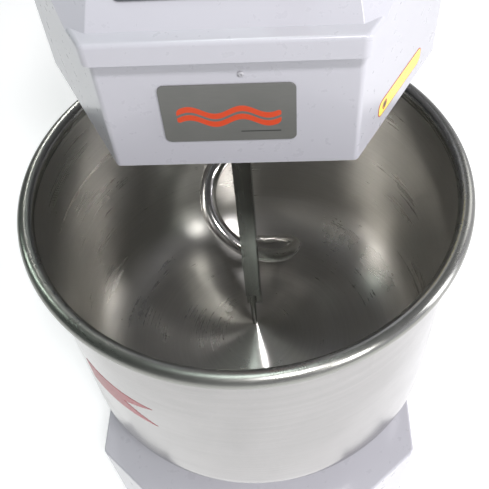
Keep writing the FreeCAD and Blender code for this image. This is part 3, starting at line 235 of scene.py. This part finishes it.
def rubber(name, colour):
    m = Mat(name)
    at = m.coords()
    grain = m.noise(at, 500.0, 3.0, 0.6)
    dust = m.noise(at, 30.0, 5.0, 0.7)
    base = m.blend(m.span(dust, 0.45, 0.75, 0.0, 0.5), colour, tint(colour, 2.6))
    m.set(Base_Color=base, Roughness=m.span(dust, 0.3, 0.7, 0.6, 0.85), Normal=m.bump(grain, 0.25, 0.0004))
    return m.mat


def plastic(name, colour, rough=0.35, grain=300.0, depth=0.0002, glow=0.0):
    m = Mat(name)
    at = m.coords()
    fine = m.noise(at, grain, 3.0, 0.6)
    cloud = m.noise(at, 40.0, 3.0, 0.6)
    base = m.blend(m.span(cloud, 0.35, 0.7, 0.0, 1.0), tint(colour, 0.9), tint(colour, 1.08))
    m.set(Base_Color=base, Roughness=m.span(fine, 0.3, 0.7, rough * 0.85, rough * 1.2),
          Normal=m.bump(fine, 0.3, depth))
    if glow:
        m.set(Emission_Color=tuple(colour), Emission_Strength=glow)
    return m.mat


def spun_steel(name, inside):
    """Stainless sheet polished in turning: fine rings round the bowl's axis, with long soft scratches."""
    m = Mat(name)
    at = m.add("ShaderNodeVectorMath", operation="SUBTRACT")
    m.put(at.inputs[0], m.coords())
    at.inputs[1].default_value = (BOWL_X, BOWL_Y, 0.0)
    at = at.outputs[0]
    x, y, z = m.split(at)
    flat = m.join(x, y, 0.0)
    length = m.add("ShaderNodeVectorMath", operation="LENGTH")
    m.put(length.inputs[0], flat)
    radius = length.outputs["Value"]
    unit = m.add("ShaderNodeVectorMath", operation="NORMALIZE")
    m.put(unit.inputs[0], flat)
    ux, uy, _ = m.split(unit.outputs[0])
    along = m.math("ADD", radius, m.math("MULTIPLY", z, -1.0))
    rings = m.noise(m.join(m.math("MULTIPLY", ux, 0.9), m.math("MULTIPLY", uy, 0.9),
                           m.math("MULTIPLY", along, 300.0)), 1.0, 4.0, 0.6)
    broad = m.noise(m.join(m.math("MULTIPLY", ux, 2.2), m.math("MULTIPLY", uy, 2.2),
                           m.math("MULTIPLY", along, 26.0)), 1.0, 4.0, 0.6)
    cloud = m.noise(at, 9.0, 5.0, 0.6, 0.5)
    scratch = m.noise(m.scaled(at, (1.0, 1.0, 0.22)), 34.0, 3.0, 0.5, 6.0)
    scratch = m.span(m.math("ABSOLUTE", m.math("SUBTRACT", scratch, 0.5)), 0.0, 0.006, 1.0, 0.0)
    # Inside and outside are one steel: the inside colours are a lighter copy and the outside colours a
    # darker copy, painted light inside and painted shade outside.
    if inside:
        dark, light, rough = (0.53, 0.52, 0.49), (0.63, 0.62, 0.59), 0.29
    else:
        dark, light, rough = (0.33, 0.322, 0.317), (0.41, 0.40, 0.395), 0.14
    base = m.blend(m.span(rings, 0.15, 0.85, 0.0, 1.0), dark, light)
    base = m.blend(m.span(cloud, 0.4, 0.75, 0.0, 0.35), base, tint(dark, 0.85))
    base = m.blend(m.math("MULTIPLY", scratch, 0.10), base, (0.8, 0.8, 0.79))
    r = m.math("ADD", m.span(rings, 0.3, 0.7, rough * 0.92, rough * 1.10),
               m.span(broad, 0.3, 0.7, -0.02, 0.03))
    r = m.math("ADD", r, m.span(cloud, 0.35, 0.7, -0.02, 0.05))
    m.set(Base_Color=base, Metallic=1.0, Anisotropic=0.95 if inside else 0.6, Anisotropic_Rotation=0.25,
          Roughness=r)
    way = m.add("ShaderNodeTangent", direction_type="RADIAL", axis="Z")
    first = m.bump(rings, 0.009, 0.0002)
    second = m.bump(broad, 0.03, 0.0008, first)
    third = m.bump(m.noise(at, 6.0, 2.0, 0.5), 0.22, 0.004, second)
    m.set(Tangent=way.outputs[0], Normal=third)
    return m.mat


def bead_steel():
    """Satin rolled rim: soft highlights across the bead, with dull and polished lengths round it."""
    m = Mat("bowl_bead")
    at = m.coords()
    cloud = m.noise(at, 7.0, 3.0, 0.5)
    lines = m.noise(m.scaled(at, (1.0, 1.0, 10.0)), 90.0, 4.0, 0.6)
    # The bead's steel colours are a darker copy of the bowl's inside steel: painted shade.
    base = m.blend(lines, (0.27, 0.275, 0.25), (0.36, 0.36, 0.34))
    m.set(Base_Color=base, Metallic=1.0, Anisotropic=0.5, Anisotropic_Rotation=0.25,
          Roughness=m.math("ADD", m.span(lines, 0.3, 0.7, 0.25, 0.29),
                           m.span(cloud, 0.35, 0.65, -0.05, 0.07)))
    way = m.add("ShaderNodeTangent", direction_type="RADIAL", axis="Z")
    m.set(Tangent=way.outputs[0], Normal=m.bump(lines, 0.03, 0.0002))
    return m.mat


# ---------------------------------------------------------------- mesh helpers
def new_mesh(name, verts, faces, smooth=True, crease=40.0):
    mesh = bpy.data.meshes.new(name)
    mesh.from_pydata(verts, [], faces)
    mesh.validate()
    mesh.update()
    if smooth:
        mesh.polygons.foreach_set("use_smooth", [True] * len(mesh.polygons))
        mesh.set_sharp_from_angle(angle=math.radians(crease))
    obj = bpy.data.objects.new(name, mesh)
    bpy.context.scene.collection.objects.link(obj)
    return obj


def lathe(name, profile, centre, segments=256, closed=True, crease=40.0):
    """Turns a list of (radius, height) round a vertical axis at centre (x, y)."""
    verts = []
    faces = []
    rows = len(profile)
    for i in range(segments):
        a = 2 * math.pi * i / segments
        for r, z in profile:
            verts.append((centre[0] + r * math.cos(a), centre[1] + r * math.sin(a), z))
    last = rows if closed else rows - 1
    for i in range(segments):
        j = (i + 1) % segments
        for k in range(last):
            n = (k + 1) % rows
            faces.append((i * rows + k, j * rows + k, j * rows + n, i * rows + n))
    return new_mesh(name, verts, faces, True, crease)


def use(obj, material):
    obj.data.materials.clear()
    obj.data.materials.append(material)


def dress(node, material):
    obj = frame["nodes"][node]
    use(obj, material)
    return obj


# ---------------------------------------------------------------- the bowl
WALL = 0.002
WALL_R = RIM_R - 0.0125
CORNER_R = 0.068
FLOOR_Z = bowl_lo.z
HUMP_R = 0.104
HUMP_H = 0.040
HUMP_POWER = 1.7


def hump_height(r):
    return HUMP_H * (1 - min(r / HUMP_R, 1.0)) ** HUMP_POWER


def skin_profile(offset):
    """The bowl's section from the centre to under the bead; offset is 0 outside and WALL inside."""
    points = []
    for i in range(49):
        r = HUMP_R * (i / 48) ** 1.3
        points.append((max(r, 0.0001), FLOOR_Z + offset + hump_height(r)))
    wall = WALL_R - offset
    corner = CORNER_R - offset
    for i in range(1, 5):
        points.append((HUMP_R + (wall - corner - HUMP_R) * i / 4, FLOOR_Z + offset))
    for i in range(1, 25):
        a = math.radians(-90 + 90 * i / 24)
        points.append((wall - corner + corner * math.cos(a),
                       FLOOR_Z + offset + corner + corner * math.sin(a)))
    top = RIM_Z - 0.009
    low = FLOOR_Z + CORNER_R
    for i in range(1, 9):
        points.append((wall, low + (top - low) * i / 8))
    return points


def make_bowl():
    cr = RIM_R - BEAD_R
    tube = BEAD_R - WALL / 2
    step = WALL_R - WALL / 2 - (cr - tube)
    start = math.pi + math.acos((tube - step) / tube)
    end = -math.radians(85)
    curl_out = []
    curl_in = []
    for i in range(41):
        a = start + (end - start) * i / 40
        curl_out.append((cr + BEAD_R * math.cos(a), RIM_Z + BEAD_R * math.sin(a)))
        curl_in.append((cr + (BEAD_R - WALL) * math.cos(a), RIM_Z + (BEAD_R - WALL) * math.sin(a)))
    inner = skin_profile(WALL) + curl_out
    outer = curl_in + list(reversed(skin_profile(0.0)))
    bowl = lathe("bowl_skin", inner + outer, (BOWL_X, BOWL_Y), 288)
    bowl.data.materials.append(spun_steel("bowl_inside", True))
    bowl.data.materials.append(spun_steel("bowl_outside", False))
    bowl.data.materials.append(bead_steel())
    rows = len(inner) + len(outer)
    skin = len(skin_profile(WALL))
    slots = []
    for i in range(len(bowl.data.polygons)):
        k = i % rows
        if k < skin - 1:
            slots.append(0)
        elif k < len(inner) + len(curl_in):
            slots.append(2)
        else:
            slots.append(1)
    bowl.data.polygons.foreach_set("material_index", slots)
    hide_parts("bowl")
    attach(bowl, "bowl_group")


# ---------------------------------------------------------------- the hook
HOOK_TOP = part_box("spiral_hook")[1].z
HOOK_X = 0.0
HOOK_Y = (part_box("spiral_shaft")[0].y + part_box("spiral_shaft")[1].y) / 2
HOOK_LEFT_Z = FLOOR_Z + 0.183
FALL = 0.210 / 360.0
HOOK_R = 0.056
HOOK_CURL_IN = 0.027
HOOK_BULGE = 0.0025
HOOK_NECK = 0.057
HOOK_CURL_DROP = 0.022
HOOK_CURL_START = 380.0
HOOK_FIRST, HOOK_LAST = -20.0, 462.0
SHANK_R = 0.014
BAR_THINNING = (0.0032, 0.0013, 0.0041)
FLANGE_R = 0.045
FLANGE_THICK = 0.012


def smooth(t):
    t = min(max(t, 0.0), 1.0)
    return t * t * (3 - 2 * t)


def hook_point(angle):
    """Centre line: out from the shank, down a helix, then curling in and levelling at the tip."""
    z = HOOK_LEFT_Z - FALL * (angle - 180.0)
    r = HOOK_R * smooth((angle + 20.0) / 130.0)
    r += HOOK_BULGE * smooth((angle - 110.0) / 60.0) * (1 - smooth((angle - 190.0) / 60.0))
    if angle < 110.0:
        z += HOOK_NECK * ((110.0 - angle) / 130.0) ** 2
    r -= HOOK_CURL_IN * smooth((angle - 345.0) / 80.0)
    if angle > HOOK_CURL_START:
        eased = 1 - math.exp(-(angle - HOOK_CURL_START) * FALL / HOOK_CURL_DROP)
        z = HOOK_LEFT_Z - FALL * (HOOK_CURL_START - 180.0) - HOOK_CURL_DROP * eased
    a = math.radians(angle)
    return Vector((HOOK_X + r * math.cos(a), HOOK_Y + r * math.sin(a), z))


def hook_bar(angle):
    """The bar's radius: thick at the shank, thinner low down, thinnest at the tip."""
    upper, lower, tip = BAR_THINNING
    bar = SHANK_R - upper * smooth((angle - 40.0) / 140.0)
    bar -= lower * smooth((angle - 190.0) / 80.0)
    return bar - tip * smooth((angle - 325.0) / 75.0)


def make_hook():
    first, last, count, round_steps = HOOK_FIRST, HOOK_LAST, 300, 32
    verts = []
    faces = []
    side = Vector((1, 0, 0))
    rings = []
    for i in range(count + 1):
        angle = first + (last - first) * i / count
        ahead = hook_point(min(angle + 1, last)) - hook_point(max(angle - 1, first))
        if i == 0:
            ahead = Vector((0, 0, -1))
        ahead.normalize()
        side = (side - ahead * side.dot(ahead)).normalized()
        rings.append((hook_point(angle), ahead.copy(), side.copy(), hook_bar(angle)))
    end, ahead, side_end, r_end = rings[-1]
    for i in range(1, 9):
        a = math.radians(90 * i / 9)
        rings.append((end + ahead * r_end * math.sin(a), ahead, side_end, r_end * math.cos(a)))
    for centre, ahead, s, r in rings:
        other = ahead.cross(s)
        for j in range(round_steps):
            b = 2 * math.pi * j / round_steps
            verts.append(centre + s * (r * math.cos(b)) + other * (r * math.sin(b)))
    for i in range(len(rings) - 1):
        for j in range(round_steps):
            k = (j + 1) % round_steps
            faces.append((i * round_steps + j, i * round_steps + k, (i + 1) * round_steps + k,
                          (i + 1) * round_steps + j))
    faces.append(tuple(range((len(rings) - 1) * round_steps, len(rings) * round_steps)))
    bar = new_mesh("hook_bar", verts, faces, True, 60)
    top = HOOK_TOP
    low = top - FLANGE_THICK
    foot = hook_point(first).z - 0.0006
    collar = SHANK_R + 0.0006
    profile = [(0.0002, foot), (SHANK_R, foot), (collar, foot + 0.0008), (collar, low - 0.003),
               (0.0160, low - 0.001), (0.0190, low), (FLANGE_R - 0.001, low), (FLANGE_R, low + 0.001),
               (FLANGE_R, top), (0.0002, top)]
    shank = lathe("hook_flange", profile, (HOOK_X, HOOK_Y), 96, False, 40)
    steel = tool_steel("hook_polish", 0.13)
    for piece in (bar, shank):
        use(piece, steel)
        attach(piece, "spiral_group")
    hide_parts("spiral_hook")


# The last argument scales both steel colours down: painted shade when it is below 1.0.
def tool_steel(name, rough, stretch=(30.0, 30.0, 1.0), painted_shade=1.0):
    m = Mat(name)
    at = m.coords()
    lines = m.noise(m.scaled(at, stretch), 14.0, 4.0, 0.65)
    cloud = m.noise(at, 30.0, 4.0, 0.6)
    base = m.blend(m.span(lines, 0.3, 0.7, 0.0, 1.0), tint((0.52, 0.51, 0.49), painted_shade),
                   tint((0.70, 0.69, 0.67), painted_shade))
    m.set(Base_Color=base, Metallic=1.0, Anisotropic=0.2,
          Roughness=m.math("ADD", m.span(lines, 0.3, 0.7, rough * 0.8, rough * 1.2),
                           m.span(cloud, 0.4, 0.7, 0.0, 0.06)),
          Normal=m.bump(lines, 0.03, 0.0003))
    return m.mat


# ---------------------------------------------------------------- room
FLOOR_GLOW = 0.36


def make_floor():
    m = Mat("floor")
    at = m.coords()
    cloud = m.noise(at, 2.0, 3.0, 0.5)
    m.set(Base_Color=m.blend(m.span(cloud, 0.3, 0.7, 0.0, 1.0), (0.86, 0.86, 0.86), (0.90, 0.90, 0.90)),
          Roughness=m.span(cloud, 0.3, 0.7, 0.6, 0.75),
          Normal=m.bump(m.noise(at, 60.0, 3.0, 0.5), 0.05, 0.001),
          Emission_Color=(1.0, 1.0, 1.0), Emission_Strength=FLOOR_GLOW)
    floor = new_mesh("floor", [(-6, -6, 0), (6, -6, 0), (6, 6, 0), (-6, 6, 0)], [(0, 1, 2, 3)], False)
    use(floor, m.mat)


def area(name, place, target, size, power, colour=(1, 1, 1)):
    data = bpy.data.lights.new(name, "AREA")
    data.shape = "RECTANGLE"
    data.size, data.size_y = size
    data.energy = power
    data.color = colour
    obj = bpy.data.objects.new(name, data)
    bpy.context.scene.collection.objects.link(obj)
    obj.location = place
    obj.rotation_euler = (Vector(target) - Vector(place)).to_track_quat("-Z", "Y").to_euler()


def make_light():
    """A dim grey room, brighter to the right and greenish to the left, with lamps on every side."""
    world = bpy.data.worlds.new("world")
    bpy.context.scene.world = world
    world.use_nodes = True
    tree = world.node_tree
    tree.nodes.clear()
    out = tree.nodes.new("ShaderNodeOutputWorld")
    back = tree.nodes.new("ShaderNodeBackground")
    coords = tree.nodes.new("ShaderNodeTexCoord")
    split = tree.nodes.new("ShaderNodeSeparateXYZ")
    height = tree.nodes.new("ShaderNodeValToRGB")
    side = tree.nodes.new("ShaderNodeValToRGB")
    shift = tree.nodes.new("ShaderNodeMapRange")
    mix = tree.nodes.new("ShaderNodeMix")
    mix.data_type = "RGBA"
    mix.blend_type = "MULTIPLY"
    mix.inputs[0].default_value = 1.0
    shift.inputs[1].default_value = -1.0
    tree.links.new(coords.outputs["Generated"], split.inputs[0])
    tree.links.new(split.outputs[2], height.inputs[0])
    tree.links.new(split.outputs[0], shift.inputs[0])
    tree.links.new(shift.outputs[0], side.inputs[0])
    tree.links.new(height.outputs[0], mix.inputs[6])
    tree.links.new(side.outputs[0], mix.inputs[7])
    tree.links.new(mix.outputs[2], back.inputs[0])
    tree.links.new(back.outputs[0], out.inputs[0])
    stops(height, [(0.0, (0.62, 0.62, 0.64)), (0.30, (0.50, 0.50, 0.51)), (0.60, (0.30, 0.30, 0.30)),
                   (1.0, (0.34, 0.35, 0.34))])
    stops(side, [(0.0, (0.22, 0.26, 0.24)), (0.45, (0.62, 0.63, 0.64)), (0.75, (1.05, 1.03, 1.1)),
                 (1.0, (1.45, 1.42, 1.53))])
    back.inputs[1].default_value = 1.0
    centre = (0, BOWL_Y, 0.75)
    area("top", (-0.1, -0.15, 2.7), centre, (0.9, 0.3), 7, (0.88, 1.0, 0.96))
    area("right", (2.3, -0.5, 1.2), centre, (0.5, 1.4), 16, (0.98, 0.97, 1.0))
    area("front", (0.5, -1.45, 2.75), centre, (0.25, 0.25), 37, (1.0, 0.975, 1.0))
    area("window", (1.2, -1.5, 1.7), centre, (0.30, 0.7), 15, (1.0, 0.99, 0.97))
    area("left", (-1.7, 0.3, 2.0), centre, (0.14, 1.0), 5, (0.85, 1.0, 0.9))
    area("rear_right", (1.9, 1.1, 1.9), centre, (1.0, 1.0), 7, (1.0, 0.99, 0.98))
    area("rear_left", (-0.9, 1.7, 2.2), centre, (0.16, 0.9), 9, (1.0, 1.0, 0.98))


def stops(ramp, points):
    elements = ramp.color_ramp.elements
    while len(elements) < len(points):
        elements.new(0.5)
    for element, (place, colour) in zip(elements, points):
        element.position = place
        element.color = (*colour, 1.0)


# ---------------------------------------------------------------- dressing the rest
def dress_all():
    white = paint("white_paint", (0.49, 0.49, 0.53), 0.28, 0.3)
    grey = paint("grey_paint", (0.40, 0.42, 0.44), 0.4, 0.1, 0.4)
    blue = paint("motor_paint", (0.10, 0.17, 0.27), 0.35, 0.2, 0.3)
    plate = brushed("plate_grey", (0.155, 0.15, 0.14), 0.36, (1.0, 40.0, 40.0), "Z", 0.3)
    # The breaker bar and the other tool_steel parts get the hook's steel darkened to 0.42: painted shade.
    bar_steel_painted_shade = tool_steel("bar_polish_painted_shade", 0.22, (9.0, 9.0, 0.3), 0.42)
    shafts = brushed("shaft_steel", (0.5, 0.5, 0.5), 0.28)
    bright = brushed("fastener_steel", (0.66, 0.66, 0.65), 0.2, (1.0, 1.0, 8.0), "Z", 0.2)
    iron = cast("cast_iron", (0.14, 0.145, 0.15))
    belts = rubber("belt_rubber", (0.025, 0.025, 0.025))
    feet = rubber("foot_rubber", (0.03, 0.03, 0.03))
    looks = {
        "white_paint": white, "grey_paint": grey, "motor_paint": blue, "plate_grey": plate,
        "tool_steel": bar_steel_painted_shade, "bowl_steel": shafts, "shaft_steel": shafts, "fastener_steel": bright,
        "cast_iron": iron, "belt_rubber": belts, "foot_rubber": feet,
        "label_yellow": plastic("label_yellow", (0.82, 0.76, 0.13), 0.3),
        "decal_red": plastic("decal_red", (0.40, 0.075, 0.085), 0.32),
        "fascia_grey": plastic("fascia_grey", (0.07, 0.075, 0.08), 0.45),
        "bezel_metal": brushed("bezel_metal", (0.62, 0.62, 0.62), 0.25, (1.0, 1.0, 6.0), "Z", 0.2),
        "button_red": plastic("button_red", (0.55, 0.02, 0.015), 0.25),
        "button_green": plastic("button_green", (0.02, 0.30, 0.07), 0.25),
        "knob_black": plastic("knob_black", (0.02, 0.02, 0.022), 0.4),
        "lamp_lens": plastic("lamp_lens", (0.80, 0.30, 0.03), 0.15, glow=0.4),
        "device_grey": plastic("device_grey", (0.22, 0.23, 0.24), 0.45),
        "zinc_plate": brushed("zinc_plate", (0.52, 0.54, 0.55), 0.3, (1.0, 30.0, 1.0)),
        "gland_black": plastic("gland_black", (0.025, 0.025, 0.025), 0.4),
    }
    for part in frame["record"]["subparts"]:
        dress(part["node"], looks[part["material_slot"]])
    for node, width in (("head_shell", 0.0012), ("top_cover", 0.0009), ("base_shell", 0.001),
                        ("name_plate", 0.0005)):
        soften(frame["nodes"][node], width)
    use(frame["nodes"]["cover_screws"], paint("screw_paint", (0.42, 0.42, 0.44), 0.3, 0.2, 0.3))
    use(frame["nodes"]["name_plate"], badge())
    use(frame["nodes"]["warning_sticker"], sticker())
    use(frame["nodes"]["control_bezels"], bezels())


def soften(obj, width):
    bevel = obj.modifiers.new("edges", "BEVEL")
    bevel.width = width
    bevel.segments = 2
    bevel.limit_method = "ANGLE"
    bevel.angle_limit = math.radians(35)
    bevel.harden_normals = False


def middle(node):
    lo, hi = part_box(node)
    return (lo + hi) / 2, (hi - lo) / 2


def local_axes(m, centre, turn):
    """Object coordinates as (along, up) in metres, measured from centre, with the plate turned about Z."""
    at = m.add("ShaderNodeVectorMath", operation="SUBTRACT")
    m.put(at.inputs[0], m.coords())
    at.inputs[1].default_value = tuple(centre)
    dot = m.add("ShaderNodeVectorMath", operation="DOT_PRODUCT")
    m.put(dot.inputs[0], at.outputs[0])
    dot.inputs[1].default_value = (math.cos(turn), math.sin(turn), 0.0)
    _, _, up = m.split(at.outputs[0])
    return dot.outputs["Value"], up


def rounded(m, along, up, half_w, half_h, corner):
    """Distance from a rounded rectangle's outline, negative inside it."""
    def reach(value, half):
        return m.math("SUBTRACT", m.math("ABSOLUTE", value), half - corner)
    a = reach(along, half_w)
    b = reach(up, half_h)
    outer = m.math("SQRT", m.math("ADD", m.math("POWER", m.math("MAXIMUM", a, 0.0), 2.0),
                                  m.math("POWER", m.math("MAXIMUM", b, 0.0), 2.0)))
    inner = m.math("MINIMUM", m.math("MAXIMUM", a, b), 0.0)
    return m.math("SUBTRACT", m.math("ADD", outer, inner), corner)


def inside(m, distance, soft=0.00015):
    return m.span(distance, -soft, soft, 1.0, 0.0)


def badge():
    """Grey name plate with a plain orange-red wave band and a thin dark rule; no lettering."""
    m = Mat("badge")
    centre, _ = middle("name_plate")
    along, up = local_axes(m, centre, 0.0)
    lines = m.noise(m.scaled(m.coords(), (2.0, 60.0, 60.0)), 30.0, 4.0, 0.65)
    cloud = m.noise(m.coords(), 26.0, 3.0, 0.6)
    grey = m.blend(lines, (0.125, 0.128, 0.118), (0.165, 0.165, 0.155))
    grey = m.blend(m.span(cloud, 0.35, 0.7, 0.0, 0.5), grey, (0.12, 0.125, 0.115))
    wave = m.math("MULTIPLY", m.math("SINE", m.math("MULTIPLY", along, 2 * math.pi / 0.046)), 0.0042)
    ride = m.math("SUBTRACT", m.math("ADD", up, 0.003), wave)
    band = inside(m, rounded(m, along, ride, 0.045, 0.0078, 0.0035), 0.0003)
    notch = m.math("SUBTRACT", 0.0014, m.math("ABSOLUTE", ride))
    band = m.math("MULTIPLY", band, m.span(notch, -0.0003, 0.0003, 1.0, 0.0))
    shifted = m.math("SUBTRACT", along, 0.027)
    rule = inside(m, rounded(m, shifted, m.math("ADD", up, 0.021), 0.0175, 0.0007, 0.0005), 0.0002)
    colour = m.blend(band, grey, (0.62, 0.065, 0.018))
    colour = m.blend(m.math("MULTIPLY", rule, 0.8), colour, (0.02, 0.02, 0.02))
    m.set(Base_Color=colour, Metallic=0.0, Roughness=m.span(lines, 0.3, 0.7, 0.32, 0.42),
          Normal=m.bump(lines, 0.05, 0.0002))
    return m.mat


def sticker():
    """Yellow film with a thin red border and a small plain round mark near its lower end."""
    m = Mat("sticker")
    centre, half = middle("warning_sticker")
    turn = math.atan2(half.y, half.x)
    along, up = local_axes(m, centre, turn)
    half_w = math.hypot(half.x, half.y)
    edge = rounded(m, along, up, half_w, half.z, 0.008)
    film = plastic_base(m, (0.86, 0.80, 0.11))
    border = m.span(edge, -0.0014, -0.0010, 0.0, 1.0)
    dot = m.math("SQRT", m.math("ADD", m.math("POWER", m.math("ADD", along, half_w - 0.0135), 2.0),
                                m.math("POWER", up, 2.0)))
    ring = inside(m, m.math("SUBTRACT", dot, 0.0052), 0.0002)
    core = inside(m, m.math("SUBTRACT", dot, 0.0028), 0.0002)
    colour = m.blend(border, film, (0.48, 0.05, 0.03))
    colour = m.blend(m.math("MULTIPLY", ring, 0.85), colour, (0.45, 0.05, 0.03))
    colour = m.blend(core, colour, (0.06, 0.07, 0.02))
    rule_along = m.math("SUBTRACT", along, 0.010)
    rule_up = m.math("SUBTRACT", up, 0.0032)
    bar = inside(m, rounded(m, rule_along, rule_up, 0.030, 0.0006, 0.0004), 0.0002)
    colour = m.blend(m.math("MULTIPLY", bar, 0.35), colour, (0.35, 0.30, 0.05))
    m.set(Base_Color=colour, Roughness=m.span(m.noise(m.coords(), 300.0, 3.0, 0.6), 0.3, 0.7, 0.25, 0.36))
    return m.mat


def plastic_base(m, colour):
    cloud = m.noise(m.coords(), 40.0, 3.0, 0.6)
    return m.blend(m.span(cloud, 0.35, 0.7, 0.0, 1.0), tint(colour, 0.93), tint(colour, 1.05))


def bezels():
    """Satin metal rings; the wide collar under the emergency stop is yellow."""
    m = Mat("bezels")
    centre, _ = middle("estop_button")
    at = m.add("ShaderNodeVectorMath", operation="DISTANCE")
    m.put(at.inputs[0], m.coords())
    at.inputs[1].default_value = tuple(centre)
    near = m.span(at.outputs["Value"], 0.033, 0.034, 1.0, 0.0)
    lines = m.noise(m.scaled(m.coords(), (1.0, 1.0, 6.0)), 60.0, 5.0, 0.7)
    metal = m.blend(lines, (0.52, 0.52, 0.52), (0.70, 0.70, 0.70))
    m.set(Base_Color=m.blend(near, metal, plastic_base(m, (0.85, 0.62, 0.03))),
          Metallic=m.span(near, 0.0, 1.0, 1.0, 0.0), Roughness=m.span(lines, 0.3, 0.7, 0.22, 0.34))
    return m.mat


make_camera()
dress_all()
make_bowl()
make_hook()
make_floor()
make_light()
scene = bpy.context.scene
scene.view_settings.view_transform = "Standard"
